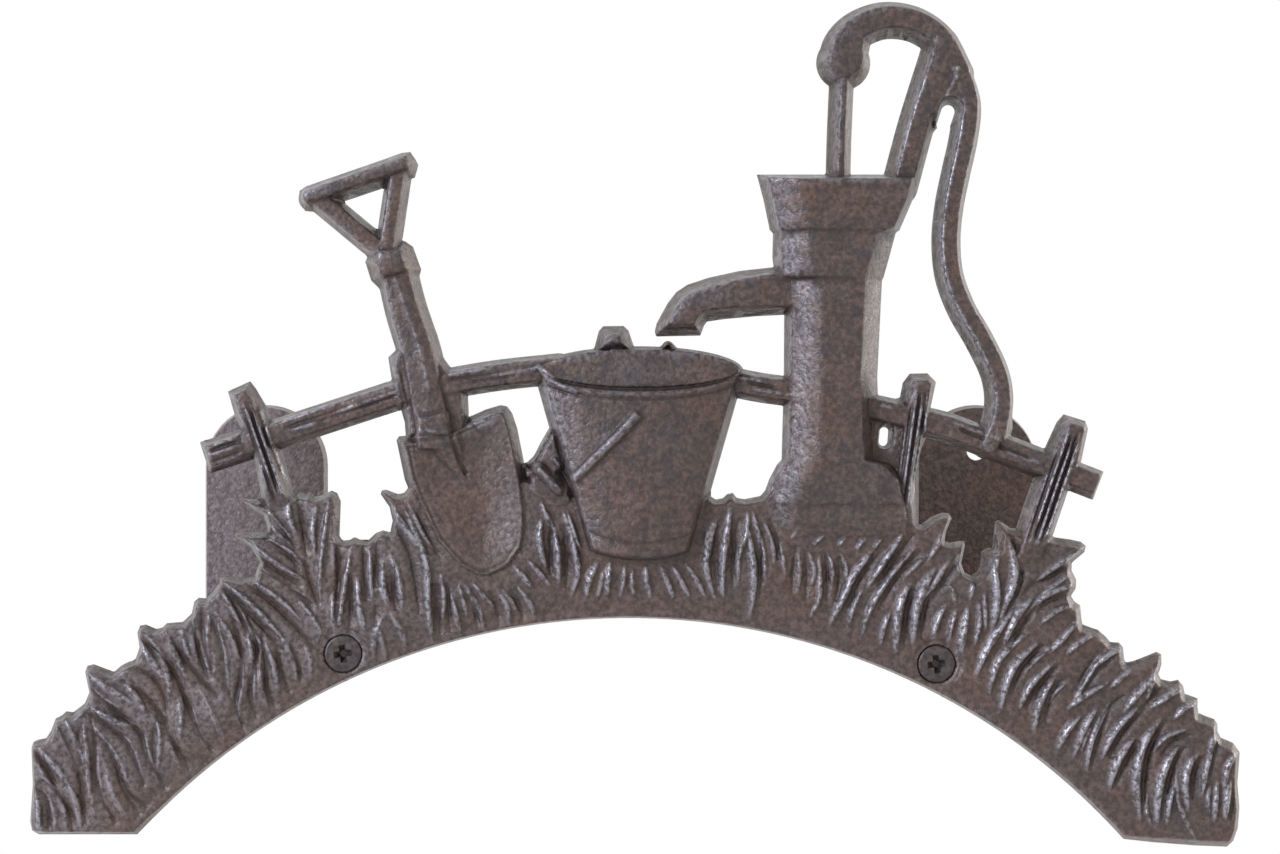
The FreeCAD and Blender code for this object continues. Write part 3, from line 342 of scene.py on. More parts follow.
def ridges(rows, target, bare_and_lit_share):
    """Strokes of the carver's tool. Each row is half width, rise and a route from root to tip. The
    stroke climbs from its left over 1.3 half widths and falls off its right within 0.62 of one, both
    as half a cosine wave. It swells and fades with its share of the way. Its crown, worn bare and
    painted as a highlight, goes into the third argument above a share of the profile that is
    greatest at the far left; its left side, towards the light, gets the most."""
    for half, rise, *spots in rows:
        route = trace(np.reshape(spots, (-1, 2)), 5)
        part = window(route, 1.6 * half + 1)
        aside, share, _ = along(route, GX[part], GZ[part])
        swell = np.clip(4 * share * (1 - share), 0, 1) ** 0.75
        reach = half * (0.2 + 0.8 * swell) * np.where(aside > 0, 0.62, 1.3)
        profile = 0.5 + 0.5 * np.cos(math.pi * np.clip(np.abs(aside) / reach, 0, 1))
        target[part] = np.maximum(target[part], profile * swell * rise)
        middle = route[:, 0].mean()
        bare_and_lit_above = 0.54 if middle < -88 else 0.30 if middle < 60 else 0.26
        crown = np.clip((profile - bare_and_lit_above) / 0.3, 0, 1) * np.where(aside > 0, profile, 1)
        bare_and_lit_share[part] = np.maximum(bare_and_lit_share[part], crown * np.clip(swell * 1.4, 0, 1) * min(rise / 1.6, 1))


def cuts(rows, valley, dark_crease_floor):
    """Creases between blades: each row is a depth and a route. The sides of a crease rise steeply
    and then round over into the leaves, over 3.4 mm. The narrow bottom is marked for darkening, as
    painted shade with wax pooled in it."""
    for deep, *spots in rows:
        route = trace(np.reshape(spots, (-1, 2)), 5)
        part = window(route, 4)
        aside, share, _ = along(route, GX[part], GZ[part])
        swell = np.clip(4 * share * (1 - share), 0, 1) ** 0.4
        side = (1 - np.clip(np.abs(aside) / 3.4, 0, 1)) ** 2.3
        valley[part] = np.maximum(valley[part], deep * swell * side)
        bottom = np.clip(1.3 - np.abs(aside) / (0.65 * np.maximum(swell, 0.05)), 0, 1)
        dark_crease_floor[part] = np.maximum(dark_crease_floor[part], bottom * min(deep / 1.7, 1))


# The meadow, the ground of the plate, with blades of grass in the same casting. Its outline runs
# through their tips from the left foot to the right foot, and back below the arch's edge, which is
# cut out later.

MEADOW = [
    (-154.5, -119.6), (-185.5, -119.6), (-187.6, -118.4), (-188.2, -115.5), (-187.4, -104.0),
    (-187.8, -92.5), (-187.2, -90.6), (-185.6, -89.8), (-183.2, -89.4), (-181.6, -87.0),
    (-180.2, -83.2), (-178.2, -82.2), (-176.8, -80.9), (-174.6, -81.2), (-171.0, -78.4),
    (-169.6, -75.0), (-170.9, -68.6), (-170.2, -66.6), (-168.2, -66.1), (-165.0, -67.3),
    (-161.8, -68.5), (-159.6, -66.6), (-157.4, -65.4), (-155.2, -64.8), (-153.8, -61.0),
    (-154.5, -56.2), (-153.6, -54.0), (-151.8, -53.6), (-148.6, -55.0), (-146.6, -54.6),
    (-145.2, -53.2), (-140.2, -52.8), (-137.4, -50.2), (-136.6, -46.4), (-135.2, -45.2),
    (-133.0, -45.4), (-130.8, -43.4), (-128.6, -40.4), (-128.9, -38.4), (-126.0, -38.0),
    (-121.4, -39.2), (-117.6, -38.4), (-116.0, -34.0), (-118.6, -29.6), (-123.9, -25.8),
    (-123.4, -24.8), (-117.0, -24.6), (-112.6, -24.8), (-114.8, -19.6), (-118.0, -17.4),
    (-121.7, -14.6), (-121.0, -14.0), (-115.6, -14.4), (-110.6, -16.2), (-107.6, -13.6),
    (-106.2, -12.6), (-104.6, -13.4), (-103.4, -12.2), (-101.4, -12.8), (-100.2, -11.9),
    (-98.6, -13.4), (-95.6, -12.6), (-93.4, -11.5), (-91.6, -12.3), (-90.5, -14.8),
    (-90.9, -25.8), (-89.9, -27.2), (-87.6, -27.0), (-86.2, -26.1), (-84.4, -26.9),
    (-82.0, -27.2), (-79.4, -24.8), (-77.2, -24.0), (-75.0, -24.6), (-74.2, -21.0),
    (-75.2, -16.6), (-78.0, -12.6), (-77.6, -11.4), (-76.2, -11.2), (-72.6, -12.6),
    (-70.6, -12.2), (-68.0, -9.0), (-31.0, -7.0), (-26.0, -11.0), (-14.0, -12.0),
    (25.4, -13.0), (27.4, -14.3), (29.6, -13.9), (31.0, -12.6), (32.8, -12.2), (34.0, -13.8),
    (36.4, -14.2), (41.4, -13.2), (46.0, -8.0), (82.0, -8.0), (88.8, -17.0), (90.8, -22.0),
    (92.0, -22.2), (95.0, -19.8), (98.6, -18.4), (100.6, -18.6), (101.6, -20.2), (99.8, -24.6),
    (99.4, -27.3), (101.0, -27.9), (103.8, -27.3), (105.5, -27.4), (105.7, -28.8),
    (104.6, -34.6), (105.6, -37.2), (107.6, -38.2), (109.6, -37.0), (110.6, -34.6),
    (111.0, -30.6), (112.4, -29.7), (114.4, -29.5), (114.8, -25.0), (115.1, -21.6),
    (116.0, -20.7), (117.6, -21.6), (120.0, -23.2), (131.6, -24.6), (134.0, -26.2),
    (138.6, -26.8), (142.2, -27.6), (143.8, -28.9), (143.4, -30.8), (139.4, -34.2),
    (139.3, -36.6), (140.8, -39.6), (140.6, -42.4), (139.1, -44.6), (140.2, -46.4),
    (142.0, -47.6), (142.4, -51.8), (142.7, -53.5), (145.4, -54.6), (147.6, -55.3),
    (150.2, -57.6), (151.4, -59.1), (154.2, -59.3), (155.5, -60.8), (155.8, -64.4),
    (156.4, -65.6), (159.0, -65.0), (162.6, -63.6), (166.0, -62.2), (167.5, -63.0),
    (167.6, -66.2), (166.6, -69.2), (167.4, -70.8), (170.4, -71.5), (172.8, -71.0),
    (174.4, -73.0), (174.9, -75.4), (177.2, -76.2), (179.0, -76.9), (178.9, -79.4),
    (179.2, -81.4), (181.2, -82.3), (184.2, -83.4), (185.2, -85.0), (185.2, -87.2),
    (186.2, -89.2), (190.0, -90.8), (192.2, -93.8), (191.5, -103.5), (192.1, -111.0),
    (191.6, -117.6), (190.2, -121.6), (188.2, -123.5), (178.0, -123.1), (165.0, -122.1),
    (155.0, -121.0), (151.6, -119.8), (148.5, -116.0), (120.0, -90.0), (60.0, -68.0),
    (0.0, -60.0), (-60.0, -68.0), (-120.0, -92.0), (-149.5, -114.5),
]

arch_gap = np.hypot(GX, GZ - ARCH_MIDDLE) - ARCH_RADIUS
CREST_ROWS = (
    # half width, rise, then the route from root to tip: the left foot and flank
    (2.6, 1.8, -183.6, -118.6, -184.2, -113, -184.6, -107),
    (2.0, 1.2, -179.0, -118, -179.6, -111, -183, -104),
    (1.9, 1.2, -175.6, -118, -176.4, -110, -181, -103, -185.4, -95),
    (2.6, 1.5, -174.6, -103, -178.6, -97.6, -184.6, -91.4),
    (2.2, 1.2, -170.8, -117, -172.6, -108, -175.4, -102), (2.0, 1.1, -171, -100, -174.4, -93, -179.4, -84),
    (2.0, 1.4, -169.6, -98, -172.4, -90, -176, -82.4),
    (1.8, 1.1, -166.4, -114, -168.4, -103, -169.2, -92, -170.4, -84),
    (2.4, 1.0, -161.6, -116, -165.0, -104, -166.4, -90), (2.4, 0.9, -156, -115, -161, -106, -163, -98),
    (2.2, 1.2, -155.5, -104, -159.4, -95, -165.4, -87, -170.4, -82),
    (2.4, 1.6, -154, -84.6, -160, -83, -168.4, -79), (2.4, 1.7, -154.4, -78, -161, -73.6, -169.6, -68.0),
    (1.6, 1.2, -158, -79.6, -164, -76, -168.6, -71.4), (1.9, 1.2, -150, -82, -153.5, -75.6, -158.4, -68.8),
    (2.0, 1.0, -152, -101, -154.4, -92, -158.4, -87.4), (2.2, 0.9, -147, -103, -149.6, -95, -151.4, -87),
    (1.9, 1.1, -147.2, -99, -146.4, -88, -149, -80), (2.4, 1.5, -144.4, -71, -148.6, -64.4, -153.4, -57.4),
    (2.0, 1.4, -143.6, -79, -143.6, -69, -147.4, -60, -151.6, -55.6),
    (1.8, 1.2, -140.4, -90, -139.4, -80, -140.4, -74), (2.0, 1.0, -139.5, -99, -142.6, -92, -144.0, -84),
    (2.0, 1.2, -137.5, -71, -141, -63, -144.6, -55), (1.6, 1.1, -136.6, -65, -138.6, -59, -139.4, -54),
    (2.0, 1.0, -131, -94, -134, -87, -136.6, -78), (2.2, 1.2, -131, -70, -131.8, -58, -130.8, -50),
    (1.5, 1.0, -134.4, -66, -136, -58, -135.8, -48), (2.0, 1.3, -125.2, -76, -125.8, -64, -128.6, -52),
    (1.8, 1.0, -126, -90, -129, -83, -134, -73), (1.8, 1.2, -120.8, -74, -120.8, -66, -124, -57, -129, -49),
    (2.0, 1.1, -121.6, -86, -122, -79, -120.8, -73), (1.7, 1.5, -117, -77, -117.2, -66, -119, -52),
    (1.8, 1.0, -112.4, -80.4, -114.6, -74, -114.8, -66), (1.8, 1.2, -109.5, -76, -110.6, -66, -114.6, -57),
    (2.0, 1.2, -104, -72, -104.6, -64, -109, -55.6), (1.7, 0.9, -99.2, -70, -99.4, -64, -101, -58.6),
    # the left tuft
    (1.9, 1.9, -101.2, -39, -109, -34.6, -118.2, -27.6), (1.5, 1.7, -101.6, -34.6, -106, -30, -114, -25.8),
    (1.9, 1.8, -104.6, -27, -109, -22, -113.2, -16.8),
    (1.3, 1.3, -104.6, -29, -109.6, -24.4, -115.6, -19.6),
    (2.0, 1.9, -107.4, -58, -112.6, -52, -119, -45.4, -126.4, -40.2),
    (1.5, 1.6, -120.8, -54, -123.4, -48.6, -126.8, -43), (1.6, 1.3, -112, -63, -117, -56, -120.6, -49.6),
    (2.0, 1.8, -102.4, -52, -108, -45.8, -117, -39.6), (1.7, 1.4, -99.4, -44.8, -107.6, -40.6, -116, -34.8),
    (2.2, 1.6, -103.8, -25, -105.8, -19.6, -106.2, -14.4), (2.1, 1.6, -97.8, -32, -98.6, -24, -97.4, -15.6),
    (1.5, 1.7, -96.4, -47, -96, -34, -93.4, -13.8), (1.6, 1.0, -92, -40, -92.2, -28, -91.8, -16),
    (1.7, 1.7, -90.6, -56, -89, -44, -86.4, -28.6), (2.3, 1.7, -82, -55.5, -84.2, -47, -84.6, -38.6),
    (1.8, 1.3, -80.2, -46, -80.6, -38, -80.8, -30), (2.4, 1.8, -74.6, -47.6, -76.6, -41, -77, -33.6),
    (2.2, 1.5, -70.8, -48.6, -71.4, -40, -74.4, -30.6), (1.6, 1.6, -91.4, -58.6, -92.4, -50, -92, -42),
    (1.5, 1.2, -95, -58, -98.4, -51, -103.4, -45), (1.6, 1.0, -79.4, -64.6, -79.4, -58, -77, -51),
    (1.5, 0.9, -85.6, -66, -86.4, -60, -86, -54), (1.6, 1.0, -75.4, -65, -77.6, -56, -79, -50),
    (1.6, 1.0, -69.6, -62.6, -70.6, -56, -74.4, -49.6),
    # beside and below the shovel
    (2.0, 1.8, -61, -60, -62.4, -47, -63.2, -33, -70.2, -16),
    (2.0, 1.8, -61.6, -33, -68.2, -24.6, -76.6, -12.6), (1.5, 1.5, -60.6, -30, -64.6, -23.4, -69, -15),
    (1.4, 1.4, -58.4, -52, -57.4, -45, -58.6, -37.4), (1.8, 1.5, -52.2, -57.4, -53.8, -50, -55.6, -43.4),
    (1.3, 1.4, -50.6, -51, -51.4, -46, -53, -40.6), (1.6, 1.3, -44.8, -56, -46.8, -48, -51.6, -40),
    (1.4, 1.1, -41.6, -48, -45.6, -43.6, -48.6, -40), (1.8, 1.3, -37, -54.6, -38, -47, -41.4, -42),
    (1.4, 1.1, -34.6, -50, -36.6, -45.6, -39.6, -42), (1.6, 1.2, -29, -52.6, -30.6, -46.6, -35, -41),
    (1.7, 1.5, -29.6, -42.6, -32.6, -38, -36, -35), (1.6, 1.6, -24.4, -41, -28, -36.4, -31.6, -33),
    (2.0, 1.9, -25.8, -36, -27.6, -27, -27, -20), (1.7, 1.5, -22.4, -25, -25, -20, -27.4, -14.6),
    (2.2, 1.9, -21.8, -41, -22, -31, -23.4, -23), (1.9, 1.7, -18, -45, -15.6, -36, -18, -25, -20.4, -17.4),
    (1.3, 1.4, -15, -30, -17, -24, -19, -18),
    # under the bucket
    (1.9, 1.6, -13.4, -45.4, -12, -39, -9.4, -33.6), (1.8, 1.6, -6.8, -45.4, -6.2, -38.6, -5.6, -33.4),
    (1.3, 1.3, -2.6, -45, -1.4, -39, -1, -34.6), (1.2, 1.1, 1.8, -45, 1.2, -40, 1.6, -35.6),
    (1.7, 1.5, 7, -45.4, 5.8, -39.6, 5.4, -34.6), (1.7, 1.5, 14.4, -45.6, 12.4, -40, 10, -34.8),
    (1.7, 1.5, 19.4, -45.4, 16.6, -39.6, 13.6, -34.4), (1.5, 1.3, 24.2, -45, 21, -38.6, 17.4, -33.6),
    (1.2, 1.0, 27.4, -46, 26, -42, 24, -38.6), (1.2, 1.0, -10, -46, -8.6, -41, -7.6, -36),
    # right of the bucket
    (2.1, 1.7, 26.4, -43, 24.4, -35, 25.6, -27, 28, -19.6),
    (2.2, 1.9, 29.6, -46, 29.4, -36, 31, -24, 32, -16),
    (1.6, 1.5, 34.2, -40, 34.4, -32, 37, -24, 37.4, -17),
    (1.9, 1.7, 37.6, -53, 39.4, -40, 38.6, -30, 36.6, -20), (1.5, 1.5, 42.6, -40, 42, -30, 38.6, -17.4),
    (1.3, 1.2, 45.8, -35, 45, -28, 41.8, -19.4), (1.4, 1.4, 24, -31, 24.4, -26, 27, -21),
    (1.3, 1.0, 48.8, -38, 48.4, -33, 47.2, -28), (1.4, 0.8, 52.4, -44, 53.6, -37, 53, -31),
    (1.5, 0.9, 57, -42, 58, -36, 56, -30),
    # at the pump's foot: short ticks, then the long blades that lean right
    (1.0, 1.4, 57.6, -28.6, 59.4, -26.8, 61.2, -25.4), (1.0, 1.4, 65.4, -29, 66.6, -27.4, 67.8, -25.8),
    (1.1, 1.4, 71, -30, 72.6, -28, 74.2, -26), (1.1, 1.4, 76.4, -30, 77.6, -28, 79, -26.4),
    (1.1, 1.0, 50.6, -26.6, 52.2, -24.6, 53.8, -23), (1.4, 1.3, 56.6, -51.6, 59.8, -44, 59.6, -31),
    (1.3, 1.2, 63.6, -41, 63.6, -35, 62, -30.6), (1.3, 1.3, 67.8, -40, 67.8, -35, 66.4, -31),
    (2.1, 2.0, 62.6, -54.4, 66.6, -46, 70.6, -38, 76.6, -29.6), (1.4, 1.5, 68.2, -54.6, 70.2, -48, 73, -42),
    (1.7, 1.8, 74.4, -42, 79.4, -34.4, 86.4, -24), (1.7, 1.8, 72.6, -57.6, 75.4, -48.6, 82, -38, 90, -28.6),
    (1.6, 1.5, 78.6, -60, 79.8, -54, 82, -48.4), (2.4, 2.1, 83.6, -63.4, 84, -54, 85.4, -46, 88.4, -39.6),
    (2.7, 2.2, 88.6, -60, 90, -50, 92, -42.6, 96, -35.4), (1.6, 1.3, 90.4, -46.6, 95, -41.6, 100.4, -33),
    (1.4, 1.2, 93, -34, 96.6, -28.6, 100.4, -20.6), (1.2, 1.0, 86.6, -38.4, 90, -34.6, 94, -31),
    (1.7, 1.7, 94.8, -59.4, 96.4, -52.6, 99.2, -46.4), (1.4, 1.5, 99.4, -60, 100.8, -54, 102.4, -48),
    (2.3, 1.9, 102.6, -64.4, 104.6, -57, 106, -47.6), (1.2, 1.2, 102, -47, 101.4, -43, 100, -40),
    (1.5, 1.4, 108, -60, 109.6, -53, 109.4, -46), (1.2, 1.2, 111.4, -56, 111.4, -49, 111, -43),
    (1.3, 1.2, 106.4, -46, 107.4, -42, 107.4, -39.8), (1.5, 1.3, 104, -37.6, 103, -34, 104.6, -30),
    # the right tuft
    (2.5, 2.0, 113.6, -55.6, 115.2, -46, 114.4, -36, 112.4, -31.4),
    (2.5, 2.1, 115.6, -52.4, 120.6, -41, 120.8, -33, 118.6, -26),
    (1.7, 1.5, 114.6, -38, 115.4, -30, 115.6, -22.6),
    (2.2, 1.8, 108, -70.4, 111.6, -62, 116.4, -54, 121.4, -47.6),
    (1.9, 1.6, 112.6, -75.4, 115, -66, 119.6, -60, 125.4, -55.4),
    (2.1, 1.9, 117, -60, 121, -51.6, 126.4, -44.4),
    (1.6, 1.5, 124.6, -50.6, 127.6, -46.6, 132, -43.6, 140, -40.6),
    (1.6, 1.4, 127, -40.6, 133, -35.6, 142.6, -29.6), (1.3, 1.2, 128.6, -44, 133.6, -40.6, 139, -36.4),
    (1.5, 1.3, 128, -53.6, 134, -49, 140.6, -46.6),
    # the right flank
    (2.2, 2.0, 116, -81.6, 117.6, -74, 121, -66, 128.4, -58.4),
    (1.7, 1.6, 122, -80, 126, -72, 133.6, -64.4), (1.3, 1.2, 123.4, -68.6, 128, -63.6, 134, -59),
    (1.7, 1.5, 130, -63, 135, -58.6, 140.6, -51.6),
    (2.3, 2.0, 126.8, -88, 127.6, -80.6, 130, -74.6, 133.4, -69.4),
    (1.3, 1.3, 131, -78, 133, -74.6, 136.4, -71.6), (1.5, 1.4, 138, -79, 143.6, -70, 148, -60.6),
    (1.6, 1.4, 136.4, -63, 141, -59, 146, -55.8), (1.6, 1.6, 136.6, -80, 142, -76, 150, -71),
    (1.9, 1.5, 143, -68.4, 148.6, -64, 154.2, -60.6), (2.0, 1.9, 133.8, -93, 137, -86.6, 141.2, -81.4),
    (1.8, 1.8, 139, -95, 142, -86.6, 146.4, -79), (1.8, 1.9, 143, -99.6, 145, -89, 150.4, -77.4),
    (1.2, 1.2, 141.4, -93, 142.6, -89, 144.4, -85), (1.9, 1.9, 147.6, -95.4, 152, -87, 159.6, -78.4),
    (1.5, 1.3, 150, -73.4, 154, -70, 158.6, -65.8), (1.5, 1.6, 161.8, -77.4, 163.6, -71, 166.8, -64.4),
    (1.8, 1.6, 154.4, -81, 160, -74, 166, -68), (2.3, 2.2, 150, -105.4, 153, -96, 158.2, -88),
    (2.6, 2.3, 160, -115, 158.8, -102, 161, -91, 166.4, -82.4),
    (1.4, 1.3, 163.4, -93.4, 167.6, -88.6, 174.4, -86), (1.9, 1.8, 163, -79.4, 168, -76, 173.6, -72.6),
    (2.4, 2.2, 164.8, -117.6, 166, -104, 169.4, -95, 172.8, -90.6),
    (1.8, 1.7, 168, -116, 168.8, -109, 170.4, -103), (1.6, 1.4, 170, -83, 174.4, -79, 178.6, -77.4),
    (2.2, 2.0, 174.8, -112, 174, -103, 175.4, -97, 178.4, -93),
    (1.7, 1.6, 178.8, -107, 180.6, -99, 183, -91), (1.4, 1.2, 170.6, -100, 171.6, -110, 177, -121),
    (1.8, 1.6, 182.8, -115.4, 183.4, -108, 184, -102),
    (2.0, 1.8, 186.2, -114.6, 187.2, -107, 187.8, -101.6), (1.7, 1.5, 180.6, -96, 182.6, -90, 184.6, -85),
    (1.6, 1.5, 185.8, -106, 187, -98, 190.4, -92.6), (1.3, 1.1, 181.4, -113, 181, -108, 181.6, -103),
    (1.2, 1.0, 163.4, -116, 161.8, -111, 162, -106),
)
CREASE_ROWS = (
    # depth, then the route: where one blade dips behind the next, on the left flank and tuft
    (1.7, -186, -104, -182.4, -107, -181.2, -112, -181.4, -118),
    (1.5, -183, -101.4, -178, -106.6, -174.6, -112, -174, -118.6),
    (1.7, -186, -92.6, -181.6, -98.6, -178.6, -104.4),
    (1.7, -178.4, -85, -175, -92, -172, -99, -170.8, -107, -169.6, -116),
    (1.9, -168.4, -82, -167, -90, -166.8, -100, -164, -109, -160, -116),
    (1.9, -170, -85, -164, -90, -160.4, -97, -158, -105, -152.6, -113.6),
    (1.7, -159, -101, -156, -106.6, -150, -110.4),
    (1.8, -170, -80.4, -163, -85, -157, -90, -154, -96.6, -151.4, -104),
    (2.0, -169.4, -72, -163, -78, -156, -84, -152.4, -88, -150.4, -95, -144.4, -105.4),
    (1.7, -159, -70.4, -153, -74, -148.4, -78.6, -145, -84, -142.4, -90, -137, -99),
    (1.6, -155.4, -66, -149, -69.6, -145.4, -75, -144.4, -82),
    (2.0, -153, -57.6, -146, -63, -142, -68.6, -139.4, -75, -136, -83, -132.4, -90.6, -128, -94),
    (1.7, -143.4, -57, -139, -64, -134, -70, -128, -76),
    (1.7, -137, -52, -135, -59, -133.4, -65, -131, -71), (1.8, -133.6, -48, -132.8, -58, -130.4, -68),
    (1.7, -130.4, -51, -127.4, -60, -126.4, -70, -124.2, -77),
    (2.0, -124.4, -50, -121.6, -60, -121.2, -68, -122.8, -78, -121.4, -84, -119.4, -88.6),
    (1.9, -119.6, -50, -116.4, -59, -117.4, -68, -118.6, -76, -116, -83.6),
    (1.7, -115, -54, -113.6, -66, -113, -74, -110.4, -79.6), (1.6, -110.4, -57, -109, -67, -106, -75),
    (1.4, -106, -59, -103.4, -66, -102.6, -71.6), (1.2, -147.6, -82, -148.6, -90, -147.8, -98),
    (1.2, -170.6, -83.4, -172.4, -90, -170.4, -99), (1.2, -187, -108, -186.4, -113, -186.8, -117),
    (1.9, -101.4, -33, -99.6, -40, -96.8, -47.4), (1.9, -104, -14, -102, -22, -100.8, -32),
    (1.8, -91.4, -28, -90.6, -36, -91.4, -46), (1.6, -116, -35.6, -106, -41.6, -98, -48),
    (1.7, -119, -29.6, -110, -36.4, -102, -41.4), (1.6, -115.4, -24.8, -106.4, -31.6, -102.4, -37),
    (1.5, -112, -19, -107, -25.6, -103.6, -30), (1.7, -127.6, -41, -119.6, -49, -112, -57, -108, -62),
    (1.7, -121, -39.6, -112, -46.4, -104, -54, -97, -62), (1.4, -124.8, -44, -121, -51.6, -117.6, -59),
    (1.7, -83.2, -27.6, -82.6, -36, -82, -46), (1.5, -79, -27, -78.8, -34, -78.6, -42),
    (1.6, -73, -22, -69, -30, -67, -38, -65.4, -50), (1.5, -87.6, -37, -86.8, -46, -87.6, -56),
    (1.4, -79.2, -47, -79, -54), (1.6, -73, -34, -73.6, -42, -72.8, -49),
    (1.5, -66.6, -18, -62.4, -26.6, -58.6, -33), (1.5, -60.4, -40, -60, -50, -58.6, -58),
    (1.3, -56.8, -40, -56.2, -48, -56, -56), (1.3, -49.4, -42, -47.8, -49, -47.4, -56),
    (1.3, -43.4, -43, -41, -49, -40.6, -55), (1.3, -37, -42, -34, -48, -32.6, -53),
    (1.7, -24.6, -20, -24.4, -29, -24.6, -38), (1.7, -20.4, -22, -19.6, -31, -19.6, -42),
    (1.2, 27.6, -22, 27, -32, 28, -42), (1.4, 34, -20, 32.6, -30, 32.2, -42),
    (1.4, 41, -24, 41, -34, 40.8, -44), (1.4, 44, -20, 46, -26, 46.8, -33),
    (1.3, 52, -28, 51.4, -36, 50.6, -44), (1.3, 55, -30, 55.6, -38, 55, -46),
    (1.4, 61.4, -31, 62, -38, 61.6, -46), (1.3, 65.6, -32, 65.8, -40, 64.4, -46),
    # the right tuft and flank: short dark cuts on the right of the long blades
    (1.8, 119.6, -24, 122.4, -34, 121.4, -42, 117, -50.6),
    (1.6, 141.6, -33, 133, -37.6, 126, -41, 122, -44.6), (1.5, 140, -43.4, 132, -45.6, 127, -49.6),
    (1.6, 128.4, -45, 122.6, -54, 118.6, -61), (1.6, 129.6, -59.4, 123, -66, 119.6, -74),
    (1.5, 135, -65, 128.6, -72, 124, -80), (1.6, 135.4, -70, 131.6, -76, 129.6, -84),
    (1.5, 155, -75, 148.6, -80.6, 145.6, -87), (1.7, 161.4, -79.4, 154, -87, 150, -95),
    (1.8, 167.6, -83.6, 162.8, -92, 161, -102, 161.4, -112), (1.8, 174, -91, 170.6, -96, 167.6, -106),
    (1.6, 179, -94.4, 176.8, -99, 176, -108), (1.6, 176, -87.6, 171, -89, 166, -94.4),
    (1.5, 159.4, -89.6, 154.6, -97, 151.6, -104), (1.4, 184.6, -86, 183, -93, 180.6, -102),
    (1.5, 189, -101, 188.6, -108, 187.8, -115), (1.3, 151, -78.6, 146.6, -88, 144.6, -98),
    (1.6, 94.6, -42, 92, -50, 91.2, -58), (1.5, 89, -42, 86.6, -50, 86, -60),
    (1.5, 89.4, -24.6, 82, -34, 77.6, -41.6), (1.4, 79, -30, 72, -39, 68, -48),
    (1.4, 91.4, -30, 84, -38, 77.6, -48.6), (1.4, 105, -31, 98.6, -39.6, 93.6, -46.4),
    (1.3, 152.6, -62, 146, -68, 141, -75), (1.4, 148.6, -60, 143.6, -67, 139.6, -73.6),
    (1.4, 167.4, -71.6, 163.4, -76, 159.6, -80.6),
)

meadow = inside_of(MEADOW, GX, GZ)
leafy = np.clip((arch_gap - 4) / 10, 0, 1)      # the grass thickens from 4 to 14 mm beyond the arch
crest, bare_and_lit_share, valley, dark_crease_floor = (np.zeros(GX.shape) for _ in range(4))
ridges(CREST_ROWS, crest, bare_and_lit_share)
cuts(CREASE_ROWS, valley, dark_crease_floor)
lawn = GROUND + 1.4 * leafy + 0.9 * crest - 0.95 * valley * np.clip(arch_gap / 5, 0, 1)
draft = np.where(GX > 108, 2.5, 3.6)            # the right end has more draft
lawn = soft_min(draft * meadow, lawn, 1.4)
height = soft_max(height, lawn, 0.4)
grass_top = lawn.copy()


# The fence. Split rails and three posts of weathered wood, in the same casting: ribs and long cracks
# follow the grain, and the posts sink into the grass.

RAIL_TOP = GROUND + 3.0
POST_TOP = GROUND + 3.4
RAILS = (
    # width, whether its free end is sawn square, then the route
    (9.8, True, (-133.2, -1.2), (-66, 20.8)),
    (9.8, False, (-62, 21.2), (-42, 24.6), (-22, 26.8)),
    (9.4, False, (30, 23.2), (42, 20.8), (56, 19.0)),
    (9.6, False, (74, 14.8), (100, 8.4)),
    (9.6, True, (99, 8.8), (147.7, -10.0)),
)
RAIL_CRACKS = (
    ((-131, -2.8), (-120, 1.0)), ((-131.6, 0.6), (-120.6, 4.4)), ((-108, 8.0), (-86, 15.2)),
    ((-58, 23.0), (-30, 26.4)), ((102, 8.2), (126, -1.6)), ((112, 3.4), (131, -4.0)),
    ((36, 22.6), (47, 20.6)), ((-98, 10.0), (-72, 18.6)), ((-50, 22.4), (-34, 25.0)),
)
RAIL_RIBS = (
    ((-132, -4.4), (-119.6, -0.4)), ((-132, -0.8), (-119.6, 3.2)), ((-131.6, 2.4), (-121, 5.8)),
    ((-110, 9.8), (-90, 16.4)), ((-92, 12.8), (-70, 20.4)), ((-106, 7.0), (-96, 10.2)),
    ((-58, 24.6), (-42, 27.0)), ((-44, 24.2), (-26, 27.4)), ((32, 24.4), (44, 22.4)),
    ((38, 20.4), (54, 18.0)), ((100, 10.4), (118, 3.6)), ((116, 1.6), (130, -3.6)),
    ((76, 16.0), (84, 14.0)),
)


def post(outline, foot, low_end, high_end):
    """A fence post: it sinks into the grass below the foot level. Six ribs and cracks in turn run
    beside its middle line, a millimetre apart, and end at different heights."""
    part = window(outline, 4)
    sunk = np.clip((foot - GZ[part]) / 14, 0, 1)
    cast_on(part, flank(inside_of(outline, GX[part], GZ[part]), POST_TOP - 4.4 * sunk, 3.4, 1.8), 0.6)
    low_end, high_end = np.array(low_end, float), np.array(high_end, float)
    way = (high_end - low_end) / np.hypot(*(high_end - low_end))
    to_right = np.array([way[1], -way[0]])
    # six lines in turn: ribs whose crowns are worn bare and painted as highlight, and cracks
    for number in range(6):
        start = low_end + to_right * (number - 2.5) + way * (0, 7, 3)[number % 3]
        end = high_end + to_right * (number - 2.5) - way * (5, 0, 2)[number % 3]
        if number % 2:
            rib([start, end], 0.6, 0.9, 0.7, 3.0, 0.9)
        else:
            rib([start, end], 0.7, -0.9, 0.8, 3.0)


for width, square, *route in RAILS:
    bar(route, width, RAIL_TOP, 4.4, 1.2, 1.8, square=square)
bar([(-133.2, -1.2), (-118.8, 3.5)], 10.4, RAIL_TOP + 0.3, 3.4, 0.5, 0.8, square=True)
for start, end in RAIL_CRACKS:
    rib([start, end], 0.7, -0.7, 0.8, 2.0)
